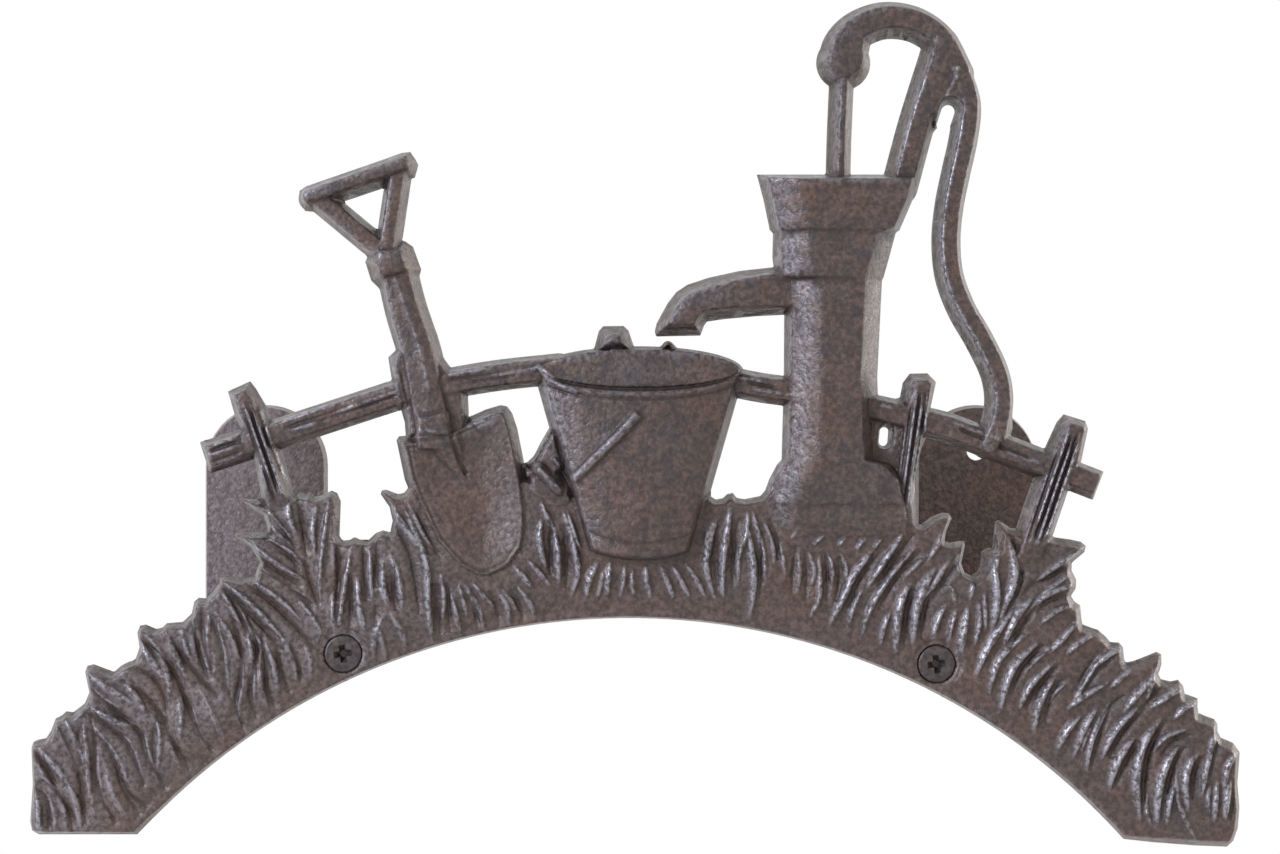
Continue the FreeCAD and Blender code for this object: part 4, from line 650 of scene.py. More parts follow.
# ribs whose crowns are worn bare and painted as highlight
for start, end in RAIL_RIBS:
    rib([start, end], 0.8, 0.55, 0.7, 3.0, 0.55)

# low webs right of the pump and behind the shovel's shaft
boss([(74, 18.6), (80, 18.0), (84, 17.4), (88, 18.6), (88, -8), (74, -8)], GROUND + 1.0, 3.0)
boss([(-75.6, 30.4), (-72, 33.8), (-66.0, 33.0), (-58, 30), (-50.6, 20), (-50, 8), (-53, 4.4),
      (-70, 4.4), (-70.4, 10), (-74.6, 24)], RAIL_TOP - 0.9, 3.4, 1.2)
post([(-126.0, 19.7), (-119.0, 22.9), (-117.2, 20.6), (-113.4, 14.2), (-108.6, 0.0), (-105.2, -13),
      (-101, -36), (-111, -38), (-117.6, -2), (-123.8, 12)], -12, (-107.6, -15), (-118.8, 17))
post([(86.2, 22.4), (88.4, 25.3), (94.0, 25.4), (96.7, 22.6), (94.6, 13), (91.8, 2), (90.0, -8),
      (90.4, -26), (81.0, -26), (82.2, -4), (84.2, 12)], -14, (86.0, -18), (91.4, 21.6))
post([(134.6, 10.0), (136.8, 12.5), (143.6, 10.4), (144.5, 8.0), (142.2, -3), (138.4, -11), (133.6, -25),
      (129, -38), (117.4, -38), (123.8, -17), (130.0, 0)], -28, (125.8, -30), (138.8, 8))


# The shovel. A wooden grip on two arms, a ferrule, a wooden shaft in a socket, and a blade of steel
# sheet that is pressed to a dish, all in the same casting.

GRIP = [(-103.6, 82.8), (-103.0, 79.4), (-101.8, 76.4), (-98.4, 76.4), (-67.2, 86.9), (-66.1, 91.0),
        (-68.6, 95.0), (-71.4, 94.7)]
bar([(-96.4, 79.4), (-78.6, 64.6)], 8.4, GROUND + 3.8, 4.4, 1.4, 1.8)
bar([(-72.2, 88), (-75.6, 65)], 8.2, GROUND + 3.8, 4.4, 1.4, 1.8)
boss(GRIP, GROUND + 3.4, 4.4, 1.4)
bar([(-99.6, 80.4), (-70.6, 90.4)], 8.4, GROUND + 5.4, 4.2, 1.8, 2.2, 0.6)
bar([(-73.4, 60), (-70.0, 45.5), (-65.8, 32), (-63.4, 19.3), (-61.6, 11), (-60.6, 3)], (12.8, 15.2),
    GROUND + 4.4, 3.6, 1.0)
rib([(-71.6, 56), (-69.4, 49), (-65.6, 38), (-63.0, 28), (-61.2, 19)], 2.8, 0.6, 0.9, 5.0)
boss([(-69.0, 13.8), (-66.6, 14.6), (-58.4, 16.0), (-54.4, 16.4), (-52.4, 7), (-53, 3), (-68.6, 3)],
     GROUND + 5.4, 3.2, 1.4, 0.5)
# the socket's upper and lower edges, with painted highlight on their crowns
rib([(-66.0, 13.4), (-57.6, 14.8)], 0.6, 0.25, 1.0, 2.0, 0.5)
rib([(-66.4, 7.6), (-58.6, 7.0)], 0.6, 0.25, 1.0, 2.0, 0.6)
boss([(-82.8, 60.4), (-80.4, 66.6), (-70.4, 67.0), (-67.8, 65.2), (-65.2, 58), (-66.2, 54.6),
      (-77.4, 51), (-81, 54.6)], GROUND + 6.0, 2.8, 2.0)
# a groove, and beside it a rib whose crown is a painted highlight
rib([(-71.4, 26.4), (-69.7, 19), (-68.8, 14)], 0.6, -0.5, 1.0, 2.0)
rib([(-74.0, 28.4), (-72.4, 21), (-70.6, 12)], 0.7, 0.4, 1.0, 2.0, 0.5)

# The blade falls from its rim towards its middle. A fine line runs inside the rim, the ground around
# it is pressed down, and the socket's spine runs out down the middle.
SHOVEL = [(-73.0, 4.4), (-72.2, 5.6), (-66, 6.0), (-57.4, 8.6), (-52.0, 10.8), (-45.0, 14.0), (-40.2, 15.4),
          (-38.2, 15.0), (-36.6, 12.8), (-35.0, 8), (-32.6, -4), (-31.0, -14), (-30.6, -24), (-31.8, -30),
          (-36.4, -36.6), (-44.0, -40.2), (-48.4, -39.6), (-53.8, -36.6), (-61.4, -28.2), (-67.6, -15),
          (-70.4, -8)]
part = window(SHOVEL, 4)
x, z = GX[part], GZ[part]
depth = inside_of(SHOVEL, x, z)
lean, _, _ = along([(-54.0, 12), (-43.6, -41)], x, z)
from_socket, _, _ = along([(-61.0, 9), (-50.8, -10)], x, z)
dish = 8.2 - 2.9 * np.clip((depth - 2.6) / 11, 0, 1) ** 0.62
line = -0.7 * np.exp(-((depth - 3.6) / 0.5) ** 2) * np.clip((lean + 14) / 8, 0.3, 1)
socket = np.clip((z + 11) / 19, 0.02, 1)
spine = 3.6 * socket * np.clip(1 - (from_socket / (6.6 * socket)) ** 2, 0, 1) ** 0.8
height[part] = np.where((depth > 2) & (z < 2), np.minimum(height[part], 4.0), height[part])
cast_on(part, soft_min(2.9 * depth, dish + line + spine, 0.9), 0.5)
rib([(-71.6, 4.6), (-60.4, 5.6)], 0.9, 0.7, 1.0, 1.0)
rib([(-56.8, 11), (-54.0, 1.3), (-50.4, -8.0)], 0.9, -0.9, 1.0, 4.0)
# a rib along the shaft whose crown is a painted highlight
rib([(-71.4, 51), (-69.0, 44), (-65.8, 35), (-63.6, 26), (-62.2, 18)], 0.8, 0.2, 1.0, 3.0, 0.38)
# painted highlights where light falls: on the dish's right side, at the blade's top edge, on the ferrule and
# at the grip's end
painted_highlight_spot((-37.6, -24), (6.0, 14), 0.22)
painted_highlight_spot((-46.4, 10.2), (4.4, 1.8), 0.75)
painted_highlight_spot((-76.5, 62.5), (4.0, 2.2), 0.5)
painted_highlight_spot((-97.5, 81.5), (5.0, 2.0), 0.3)


# The bucket. A tapered tub of steel sheet with a rolled rim and a wire bail, whose wooden hold hangs
# to the left, all in the same casting. Its front is round: an ellipse across each level.

RIM_X, RIM_Z = 3.4, 26.1                        # middle of the rim
RIM_HALF = 32.7                                 # half the rim's width
RIM_RISE, RIM_DROP, RIM_MEAN = 7.8, 8.0, 7.9    # how far it reaches up and down, and their mean
SOLE_X, SOLE_Z, SOLE_RADIUS = 3.7, 6.9, 41.4    # the arc of the bottom edge

part = window([(-36, -38), (42, 36)], 2)
x, z = GX[part], GZ[part]
tub_left = -28.0 + 0.279 * (19.2 - z)
tub_right = 33.2 - 0.287 * (14.0 - z)
tub_half = (tub_right - tub_left) / 2
tub_off = np.abs(x - (tub_left + tub_right) / 2)
sole = z - (SOLE_Z - np.sqrt(np.clip(SOLE_RADIUS ** 2 - (x - SOLE_X) ** 2, 1, None)))
round_face = 7.2 + 7.4 * np.sqrt(np.clip(1 - (tub_off / (tub_half + 0.2)) ** 2, 0, 1))
foot_ring = 0.55 * np.exp(-((sole - 7.0) / 0.6) ** 2)
tub = soft_min(3.6 * (tub_half - tub_off), round_face - foot_ring, 1.0)
tub = soft_min(tub, 5.0 * sole, 2.0)
far_side = z > RIM_Z
tub = np.where(far_side, tub - 30 * (z - RIM_Z), tub)

# the rim is an ellipse, and the gap is the distance inward from it; the mouth is sunk inside it
rim_x, rim_z = (x - RIM_X) / RIM_HALF, (z - RIM_Z) / np.where(far_side, RIM_RISE, RIM_DROP)
rim_r = np.sqrt(rim_x ** 2 + rim_z ** 2)
rim_gap = (1 - rim_r) * rim_r / np.maximum(np.hypot(rim_x / RIM_HALF, rim_z / RIM_MEAN), 1e-3)
lip_top = np.where(far_side, 12.2, np.maximum(round_face, 11.0) + 0.5)
mouth = soft_min(3.4 * rim_gap, lip_top, 1.0)
bucket = soft_max(tub, mouth, 0.5)
near_side = 1 - np.clip((z - RIM_Z) / 3, 0, 1)
inside_wall = 11.9 - 0.14 * (z - 18.0) - 0.6 * rim_x ** 2
inside_wall = inside_wall - 0.9 * np.exp(-((rim_gap - 2.2) / 0.5) ** 2) * near_side
bucket = np.where(rim_gap > 1.2, soft_max(inside_wall, bucket - 5.5 * (rim_gap - 1.2), 0.5), bucket)
bead = 0.5 * np.exp(-((rim_gap - 0.3) / 0.5) ** 2) - 0.5 * np.exp(-((rim_gap + 1.1) / 0.45) ** 2) * (z < 24)
bucket = np.where(bucket > 6, bucket + bead, bucket)
cast_on(part, bucket, 0.4)
# painted highlights: on the rim's curl at the left, down the tub's left side where the light from the left
# falls, and faintly across the mouth
rib([(-29.4, 28.4), (-25.6, 25.0), (-21.6, 21.6), (-15.6, 19.0)], 1.1, 0.9, 0.7, 1.0, 0.7)
painted_highlight_spot((-20, 6), (4.5, 16), 0.32)
painted_highlight_spot((-24, 16), (3.0, 5), 0.4)
painted_highlight_spot((4, 25.5), (18, 3.4), 0.10)

# behind the rim stand the fence's middle post and the right end of the bail
boss([(-11.4, 31), (-9.4, 38.6), (-8.0, 40.2), (-1.6, 40.3), (0.0, 38.8), (1.8, 33.4), (4.0, 31.0)],
     RAIL_TOP + 1.6, 2.6)
bar([(10.8, 33.2), (12.4, 34.6), (14.2, 33.0)], 2.0, 6.0, 3.0)

# the bail's left end with the web that joins it to the tub, the hold, and the wire over the tub
boss([(-34, -3.4), (-31.6, -3.2), (-29.6, -0.2), (-27.7, 3.4), (-25.0, 7.8), (-22.0, 8.4), (-19.0, -3),
      (-22, -9), (-34, -9)], 6.2, 2.8, 1.6, 1.0)
bar([(-31.4, -3.6), (-28.7, -1.0), (-26.8, 2.9), (-24.2, 7.4)], 2.2, 8.2, 4.0, 1.0, 1.0, 0.5)
boss([(-33, -6), (-27.5, -2.5), (-22, -3), (-16, -10), (-17, -18), (-25, -19), (-33, -13)],
     7.4, 2.5, 1.6, 1.5)
bar([(-27.9, -4.9), (-22.0, -11.2)], 8.8, 10.6, 3.0, 3.0, 1.4, 0.8)
boss([(-22, -5), (-17, -8), (-15.5, -16), (-20, -18.5), (-23, -13)], 9.4, 2.5, 1.6, 1.5)
# ribs along the hold and the wires, their crowns painted as highlight
rib([(-28.9, -3.6), (-25.2, -7.2), (-21.8, -10.8)], 0.9, 0.3, 1.0, 1.5, 0.6)
rib([(2.9, 13.0), (-2, 7.6), (-10, -0.4), (-18.4, -8.6)], 1.6, 1.7, 0.6, 1.0, 0.42)
rib([(-24.0, -0.7), (-19.3, -6.6)], 0.9, 1.0, 0.6, 1.0, 0.4)


# The hand pump. A column with collar and flared head on a wide foot, with its spout, piston rod,
# hook and long handle, all in the same casting. A facet runs down the left of the column.

PUMP_LEVELS = np.array([
    # height, left edge, right edge, and how far the face stands out
    (-27.0, 41.0, 89.6, 6.0), (-22.0, 41.0, 90.2, 8.6), (-15.6, 41.4, 90.0, 9.7),
    (-15.1, 41.6, 90.0, 10.3), (-8.0, 44.2, 88.6, 11.8), (-3.4, 46.6, 84.8, 13.0),
    (-1.8, 48.1, 79.2, 14.0), (24.0, 48.8, 78.2, 14.0), (54.6, 49.0, 79.7, 14.0),
    (55.6, 45.9, 80.2, 15.1), (62.0, 45.2, 82.0, 15.1), (69.4, 45.4, 84.0, 15.1),
    (70.4, 44.4, 85.2, 16.2), (80.0, 42.4, 89.4, 16.2), (89.0, 40.0, 91.6, 16.2),
])
PUMP_TOP = 87.9
boss([(82, 0), (88.4, -1), (89.6, -10), (90.2, -25), (82, -25)], 8.0, 2.0, 1.6, 2.0)
part = window([(40, -26), (92, 88)], 3)
x, z = GX[part], GZ[part]
left, right, face = (np.interp(z, PUMP_LEVELS[:, 0], PUMP_LEVELS[:, n]) for n in (1, 2, 3))
facet = face - 5.4 + 0.66 * (x - left - 2.0)
right_slope = np.interp(z, (68.6, 70.4), (2.05, 4.6))       # the head is steeper than the column
column = soft_min(4.6 * (x - left), facet, 1.6)
column = soft_min(column, face, 1.0)
column = soft_min(column, right_slope * (right - x), 1.2)
column = soft_min(column, 6.0 * (PUMP_TOP - z), 1.0)
column = soft_min(column, 1.6 * (z + 30), 1.0)
cast_on(part, column, 0.5)

# a painted highlight on the facet, where the light from the left falls, in a band whose sides fall off with
# the fourth power of the distance
facet_painted_highlight = np.exp(-((x - left - 5.4) / 2.5) ** 4) * np.clip((z + 24) / 6, 0, 1)
facet_painted_highlight = facet_painted_highlight * np.clip((90 - z) / 3, 0, 1)
narrow_head = np.where(z > 70, np.exp(-((x - left - 5.6) / 1.9) ** 4), 1)
bare_and_painted_highlight[part] = np.maximum(bare_and_painted_highlight[part], 0.34 * facet_painted_highlight * narrow_head)
# a painted highlight on the foot's right flank
painted_highlight_spot((86.8, -13), (2.2, 7.0), 0.4)

# the spout is lower where it leaves the column, and its lip stands a little proud
SPOUT = [(57, 59.2), (46, 58.8), (35, 57.6), (25, 55.4), (18.4, 53.2), (15.0, 50.9), (12.4, 47.6),
         (10.4, 44), (8.9, 41.2), (8.3, 38.6), (8.7, 37.0), (22.4, 37.3), (23.6, 40.2), (24.6, 41.6),
         (30, 42.4), (40, 43.3), (57, 44.2)]
part = window(SPOUT, 3)
spout_top = 10.8 - 2.6 * np.clip((GX[part] - 30) / 18, 0, 1)
cast_on(part, flank(inside_of(SPOUT, GX[part], GZ[part]), spout_top, 3.2, 1.6), 0.8)
boss([(8.3, 38.6), (8.7, 37.0), (22.6, 37.3), (23.6, 40.2), (22.6, 41.2), (8.9, 41.0)], GROUND + 6.6,
     3.6, 1.0)

# the piston rod, and the hook that ends in a ball over it
bar([(65.8, 84), (66.2, 100), (67.0, 118)], 7.8, GROUND + 3.4, 2.9, 0.4)
HOOK = [(66.6, 121.6), (66.8, 127.4), (71.0, 132.6), (77.8, 135.8), (84.6, 136.2), (91.6, 134.2),
        (98.2, 129.0), (103.4, 119.6)]
bar(HOOK, (12.8, 10.4), GROUND + 4.0, 3.2, 0.4)
bar([(68.0, 123.0), (69.4, 128.6)], 13.0, GROUND + 4.1, 3.0, 0.4)
part = window([(67.5, 122.9)], 12)
ball = np.hypot(GX[part] - 67.5, GZ[part] - 122.9)
cast_on(part, soft_min(3.0 * (8.5 - ball), GROUND + 4.6 - 0.8 * (ball / 8) ** 2, 1.4), 0.6)
rib([(73.4, 130.6), (73.8, 124.4), (72.0, 119.6), (69.0, 117.4)], 1.0, -0.9, 1.0, 1.5)

# the arm that carries the hook, and the handle that runs down from it to the rail
bar([(85.2, 84), (90.6, 104), (96.6, 123), (98.2, 128.4)], 11.6, GROUND + 4.3, 3.0, 0.3)
HANDLE = [(103.4, 119.6), (106.2, 110.0), (105.4, 100.0), (102.8, 88.0), (100.8, 78.0), (99.8, 67.0),
          (100.8, 56.0), (104.6, 45.6), (110.2, 35.8), (115.0, 25.6), (116.4, 16.6), (114.8, 8.0),
          (112.4, 3.0)]
bar(HANDLE, 9.2, GROUND + 4.0, 4.0, 0.3)
# painted highlights down the left edge of the handle's front and at its foot
rib([(x - 2.2, z) for x, z in HANDLE[1:-3]], 0.7, 0.15, 1.0, 4.0, 0.75)
painted_highlight_spot((111.4, 6.0), (1.3, 4.0), 0.6)
boss([(91.6, 121), (98, 127), (106, 124), (107.4, 116), (106.4, 103), (91.0, 102.6), (90.4, 108)],
     GROUND + 3.9, 2.6)
bar([(99.0, 125), (102.0, 118)], 6.0, GROUND + 3.9, 3.0, 0.2)
boss([(94.6, 107), (98.5, 103.9), (95.0, 100.4)], 6.0, 3.0)
boss([(104.0, 106), (100.7, 103.6), (103.4, 100.6)], 6.0, 3.0)
boss([(111.9, 14.3), (111.0, 8), (109.2, 3.8), (110.5, 1.6), (116, 0.4), (119.6, 2.4), (120.8, 8),
      (120.6, 14)], GROUND + 4.0, 2.6, 1.8)
# painted highlights: a curve at the arm's right end, down the left edge of the arm's front, and on the spout
rib([(102.6, 121.4), (101.4, 116), (98.6, 110.8)], 0.8, 0.5, 1.0, 1.0, 0.7)
rib([(82.6, 87), (88.0, 105), (93.4, 120)], 0.7, 0.15, 1.0, 4.0, 0.8)
painted_highlight_spot((28, 50), (13, 5), 0.16)

# the small hole in the web and the eye between arm and handle, each a slot with a half width
for route, half in (([(80.0, 3.9), (80.3, 7.1)], 1.35), ([(99.0, 103.4), (100.4, 107.6)], 2.1)):
    part = window(route, 6)
    aside, _, _ = along(route, GX[part], GZ[part])
    height[part] = soft_min(height[part], 5.0 * (np.abs(aside) - half), 1.0)


# The lower edge and the screw seats. The arch is cut out with a steep flank, and two countersunk
# holes, each in a patch of flat ground, take the screws.

SCREW_RING = 217.4          # the screws' distance from the arch's middle
PAD_RADIUS = 7.4            # the flat ground around a screw
SEAT_RADIUS = 6.2           # the countersink's rim, 0.9 mm below the flat ground
PASSAGE_RADIUS = 3.2
SCREWS = [(sx, ARCH_MIDDLE + math.sqrt(SCREW_RING ** 2 - sx ** 2)) for sx in (-89.5, 96.3)]
height = soft_min(height, 5.5 * arch_gap, 1.2)
for sx, sz in SCREWS:
    part = window([(sx, sz)], 12)
    r = np.hypot(GX[part] - sx, GZ[part] - sz)
    pad = np.maximum(GROUND, GROUND + (r - PAD_RADIUS) * 0.9)
    cone = np.where(r < SEAT_RADIUS, GROUND - 0.9 - (SEAT_RADIUS - r), 99.0)
    cone = np.where(r < 3.4, 5.0 * (r - PASSAGE_RADIUS), cone)
    height[part] = np.minimum(np.minimum(height[part], pad), cone)


def blurred(field, sigma):
    """The field averaged with a bell of the given width in millimetres, one axis at a time."""
    reach = int(math.ceil(3 * sigma / PITCH))
    bell = np.exp(-0.5 * (np.arange(-reach, reach + 1) * PITCH / sigma) ** 2)
    bell /= bell.sum()

    def averaged(row):
        return np.convolve(np.pad(row, reach, "edge"), bell, "valid")

    for axis in (0, 1):
        field = np.apply_along_axis(averaged, axis, field)
    return field


# No casting is quite true: a slow wave with a spread of a tenth of a millimetre runs over it
random = np.random.default_rng(7)
wave = blurred(random.normal(size=height.shape), 2.4)
height += np.where(height > 1, 0.10 * wave / wave.std(), 0)

# The wax is rubbed through on the strokes and ribs and a little along all edges. Painted highlight
# is laid on with it: on the crests' left sides, on edges that face left and up towards the light,
# on the leaves at the left, and in the bands and spots above. The wax pools where the surface lies
# below its surroundings and at the bottom of the creases, and there the darkening is painted
# shade as well.
solid = np.maximum(height, 0.0)
on_grass = np.clip(1 - (height - grass_top - 0.4) / 0.5, 0, 1) * (meadow > 0.5)
crest_bare_and_lit_share = np.where(GX > 60, 0.95, np.where(GX < -88, 0.62, 0.85))    # most at the right
softened = blurred(solid, 0.8)
edge = np.clip((solid - softened) / 0.45 - 0.15, 0, 1)
edge *= np.where(height < grass_top + 0.6, np.clip((meadow - 2.0) / 2.0, 0, 1), 1)
faces_key_light = np.clip(np.gradient(softened, PITCH, axis=1) - 0.5 * np.gradient(softened, PITCH, axis=0), 0, 1)
bare_and_highlight_field = bare_and_lit_share * on_grass * crest_bare_and_lit_share * np.clip(arch_gap / 8, 0, 1)
lit_leaf_highlight = on_grass * leafy * np.clip(1 - valley / 1.1, 0, 1) * np.clip((-50 - GX) / 50, 0, 1)
bare_and_highlight_field = np.clip(np.maximum(bare_and_highlight_field, bare_and_painted_highlight) + 0.06 * edge + 0.36 * edge * faces_key_light
                    + 0.26 * lit_leaf_highlight, 0, 1)
wax_and_shade_field = np.clip((softened - solid) / 0.36 - 0.12, 0, 0.9) * (1 - 0.55 * on_grass)
wax_and_shade_field *= 1 - 0.8 * np.exp(-((GX + 24) / 9) ** 2 - ((GZ + 8) / 9) ** 2)   # less painted shade and pooled wax at the hold
wax_and_shade_field = np.maximum(wax_and_shade_field, 0.8 * dark_crease_floor * on_grass * np.clip(arch_gap / 8, 0, 1))


def relief_mesh(field):
    """Front faces where any corner of a cell has iron. Each corner without iron moves to the edge
    of the casting, by its height over the slope along the steepest way. The rim of these faces is
    returned with them, as the outline that the flat back fills."""
    iron = field > 0
    cell = iron[:-1, :-1] | iron[1:, :-1] | iron[:-1, 1:] | iron[1:, 1:]
    slope_z, slope_x = np.gradient(field, PITCH)
    steep = np.maximum(slope_x ** 2 + slope_z ** 2, 0.4)
    step = np.where(iron, 0, -field / steep)
    shift_x = np.clip(step * slope_x, -PITCH, PITCH)
    shift_z = np.clip(step * slope_z, -PITCH, PITCH)
    px, pz = GX + shift_x, GZ + shift_z
    py = np.where(iron, field, 0)
    number = np.arange(field.size).reshape(field.shape)
    a, b, c, d = (number[:-1, :-1][cell], number[:-1, 1:][cell], number[1:, 1:][cell], number[1:, :-1][cell])
    quads = np.stack([a, b, c, d], axis=1)
    used = np.unique(quads)
    lookup = np.full(field.size, -1)
    lookup[used] = np.arange(len(used))
    quads = lookup[quads]
    places = np.stack([px.ravel()[used], -(BACK + py.ravel()[used]), pz.ravel()[used]], axis=1) / 1000
    sides = np.concatenate([quads[:, [0, 1]], quads[:, [1, 2]], quads[:, [2, 3]], quads[:, [3, 0]]])
    ordered = np.sort(sides, axis=1)
    _, first, count = np.unique(ordered, axis=0, return_index=True, return_counts=True)
    rim = sides[first[count == 1]]
    return places, quads, rim


def flat_back(points, sides):
    """Triangles that fill closed outlines. The triangulation reaches past them, so each triangle is
    in or out by walking from its hull: every outline side that the walk crosses changes it."""
    got = geometry.delaunay_2d_cdt([Vector(p) for p in points], sides, [], 0, 1e-9)
    outline = {tuple(sorted(line)) for line, source in zip(got[1], got[4]) if source}
    beside = {}
    for number, corners in enumerate(got[2]):
        for a, b in zip(corners, corners[1:] + corners[:1]):
            beside.setdefault(tuple(sorted((a, b))), []).append(number)
    inside = {}
    waiting = [(near[0], side in outline) for side, near in beside.items() if len(near) == 1]
    while waiting:
        number, state = waiting.pop()
        if number in inside:
            continue
        inside[number] = state
        corners = got[2][number]
        for a, b in zip(corners, corners[1:] + corners[:1]):
            side = tuple(sorted((a, b)))
            waiting += [(other, state != (side in outline)) for other in beside[side] if other not in inside]
    sources = [source[0] if source else -1 for source in got[3]]
    return got[0], sources, [got[2][number] for number, state in inside.items() if state]


places, quads, rim = relief_mesh(height)
rim_points = np.unique(rim)
short = {int(v): n for n, v in enumerate(rim_points)}
rim_sides = [(short[int(a)], short[int(b)]) for a, b in rim]
fill_points, fill_sources, fill = flat_back(places[rim_points][:, [0, 2]].tolist(), rim_sides)
vertex_list = places.tolist()
back_number = []
for point, source in zip(fill_points, fill_sources):
    back_number.append(int(rim_points[source]) if source >= 0 else len(vertex_list))
    if source < 0:
        vertex_list.append((point.x, -BACK / 1000, point.y))
faces = quads.tolist() + [[back_number[v] for v in corners[::-1]] for corners in fill]
mesh = bpy.data.meshes.new("relief_plate")
mesh.from_pydata(vertex_list, [], faces)
mesh.validate()
plate = bpy.data.objects.new("relief_plate", mesh)
bpy.context.scene.collection.objects.link(plate)

triangles = sum(len(face) - 2 for face in faces)
thin = plate.modifiers.new("thin", "DECIMATE")
thin.ratio = min(1.0, (190000) / triangles)
thinned = bpy.data.meshes.new_from_object(plate.evaluated_get(bpy.context.evaluated_depsgraph_get()))
plate.modifiers.clear()
plate.data = thinned
thinned.name = "relief_plate"
where = np.empty(len(thinned.vertices) * 3)
thinned.vertices.foreach_get("co", where)
where = where.reshape(-1, 3) * 1000


def sampled(field, x, z):
    """The field at places between the grid's, each weighed from its four neighbours."""
    column = np.clip((x - across[0]) / PITCH, 0, len(across) - 1.001)
    row = np.clip((z - up[0]) / PITCH, 0, len(up) - 1.001)
    c, r = column.astype(int), row.astype(int)
    fc, fr = column - c, row - r
    return ((field[r, c] * (1 - fc) + field[r, c + 1] * fc) * (1 - fr)
            + (field[r + 1, c] * (1 - fc) + field[r + 1, c + 1] * fc) * fr)


in_front = where[:, 1] < -BACK - 0.02
for name, field in (("worn_and_lit", bare_and_highlight_field), ("crease", wax_and_shade_field)):
    mark_share = np.where(in_front, sampled(field, where[:, 0], where[:, 2]), 0)
    layer = thinned.attributes.new(name, "FLOAT", "POINT")
    layer.data.foreach_set("value", mark_share.astype(np.float32))
smooth = np.array([any(in_front[v] for v in face.vertices) for face in thinned.polygons])
thinned.polygons.foreach_set("use_smooth", smooth)
thinned.materials.clear()
thinned.materials.append(cast_iron("waxed_cast_iron_relief", True))
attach(plate, "root")
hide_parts("front_plate")


# The two plate screws. M6 machine screws of steel with a black oxide skin, turned, with a pressed
# cross recess and a rolled thread; they pass the plate and the saddle's lugs.

HEAD_FACE = 130.7           # wall to the face of the heads
HEAD_RADIUS = 5.8
SHANK_RADIUS = 3.0
THREAD_START = 124.0        # wall to the first turn of the thread
THREAD_PITCH = 1.0
THREAD_DEPTH = 0.55
TIP = 113.5                 # wall to the end of the thread
RECESS_LEAN = math.radians(8)
RECESS_HALF = 1.0           # half width of a wing of the cross
RECESS_REACH = 2.9          # middle to the end of a wing
RECESS_DEPTH = 2.5


def turned(name, spots, rows, radius_of, sides, depth_of=None):
    """A surface about the Y axis at each spot: rows of distance from the wall and radius, turned
    through the sides. The radius may follow the angle, and the front may be sunk by a depth."""
    corners = []
    faces = []
    turn = np.linspace(0, 2 * math.pi, sides, endpoint=False)
    rows = np.asarray(rows, float)
    out, radius = rows[:, :1], rows[:, 1:]
    wide = radius_of(out, radius, turn[None, :])
    x = wide * np.cos(turn)
    z = wide * np.sin(turn)
    y = out + np.zeros_like(x)
    if depth_of is not None:
        y = y - depth_of(out, x, z)
    n_rows = len(rows)
    a = np.arange(n_rows - 1)[:, None] * sides + np.arange(sides)
    b = np.arange(n_rows - 1)[:, None] * sides + (np.arange(sides) + 1) % sides
    quads = np.stack([a, a + sides, b + sides, b], axis=2).reshape(-1, 4)
    for number, (sx, sz) in enumerate(spots):
        corners.append(np.stack([x + sx, -y, z + sz], axis=2).reshape(-1, 3) / 1000)
        faces.append(quads + number * n_rows * sides)
    made = bpy.data.meshes.new(name)
    made.from_pydata(np.concatenate(corners).tolist(), [], np.concatenate(faces).tolist())
    made.polygons.foreach_set("use_smooth", [True] * len(made.polygons))
    made.set_sharp_from_angle(angle=math.radians(34))
    piece = bpy.data.objects.new(name, made)
    bpy.context.scene.collection.objects.link(piece)
    return piece


def screw_radius(out, radius, turn):
    """Plain on the head; on the shank the thread is a triangle wave that climbs with the angle."""
    wave = np.abs(((out / THREAD_PITCH + turn / (2 * math.pi)) % 1) - 0.5) * 2
    threaded = np.clip((THREAD_START - out) / 0.6, 0, 1) * np.clip((radius - 2.0) / 0.6, 0, 1)
    return radius - THREAD_DEPTH * wave * threaded


def cross_depth(out, x, z):
    """The cross recess: each wing is as deep as its flanks allow, and shallower away from the middle."""
    cosine, sine = math.cos(RECESS_LEAN), math.sin(RECESS_LEAN)
    u = np.abs(x * cosine + z * sine)
    v = np.abs(-x * sine + z * cosine)
    wing = np.minimum((RECESS_HALF - np.minimum(u, v)) * 6, 4.0 * (1 - np.maximum(u, v) / RECESS_REACH))
    return np.where(out > HEAD_FACE - 0.01, np.clip(wing, 0, RECESS_DEPTH), 0)


face_rows = [(HEAD_FACE, r) for r in np.linspace(0.001, HEAD_RADIUS - 0.7, 64)]
side_rows = [(HEAD_FACE - 0.3, 5.7), (HEAD_FACE - 0.4, HEAD_RADIUS), (HEAD_FACE - 0.5, HEAD_RADIUS)]
cone_rows = [(HEAD_FACE - 0.6 - s, HEAD_RADIUS - s) for s in (1.0, 2.0, 2.7)]
cone_rows += [(HEAD_FACE - 3.4, SHANK_RADIUS)]
shank_rows = [(s, SHANK_RADIUS) for s in np.arange(127.0, 114.2, -0.125)]
tip_rows = [(114.1, 2.9), (113.6, 2.4), (TIP, 2.3), (TIP, 1.2), (TIP, 0.001)]
screws = turned("plate_screws_turned", SCREWS, face_rows + side_rows + cone_rows + shank_rows + tip_rows,
                screw_radius, 120, cross_depth)


BLACK_OXIDE = linear("363131")
BROWN_FILM = linear("544b49")   # a film of wax over the oxide
OXIDE_MOTTLE = 1.6              # spots of the oxide, in millimetres


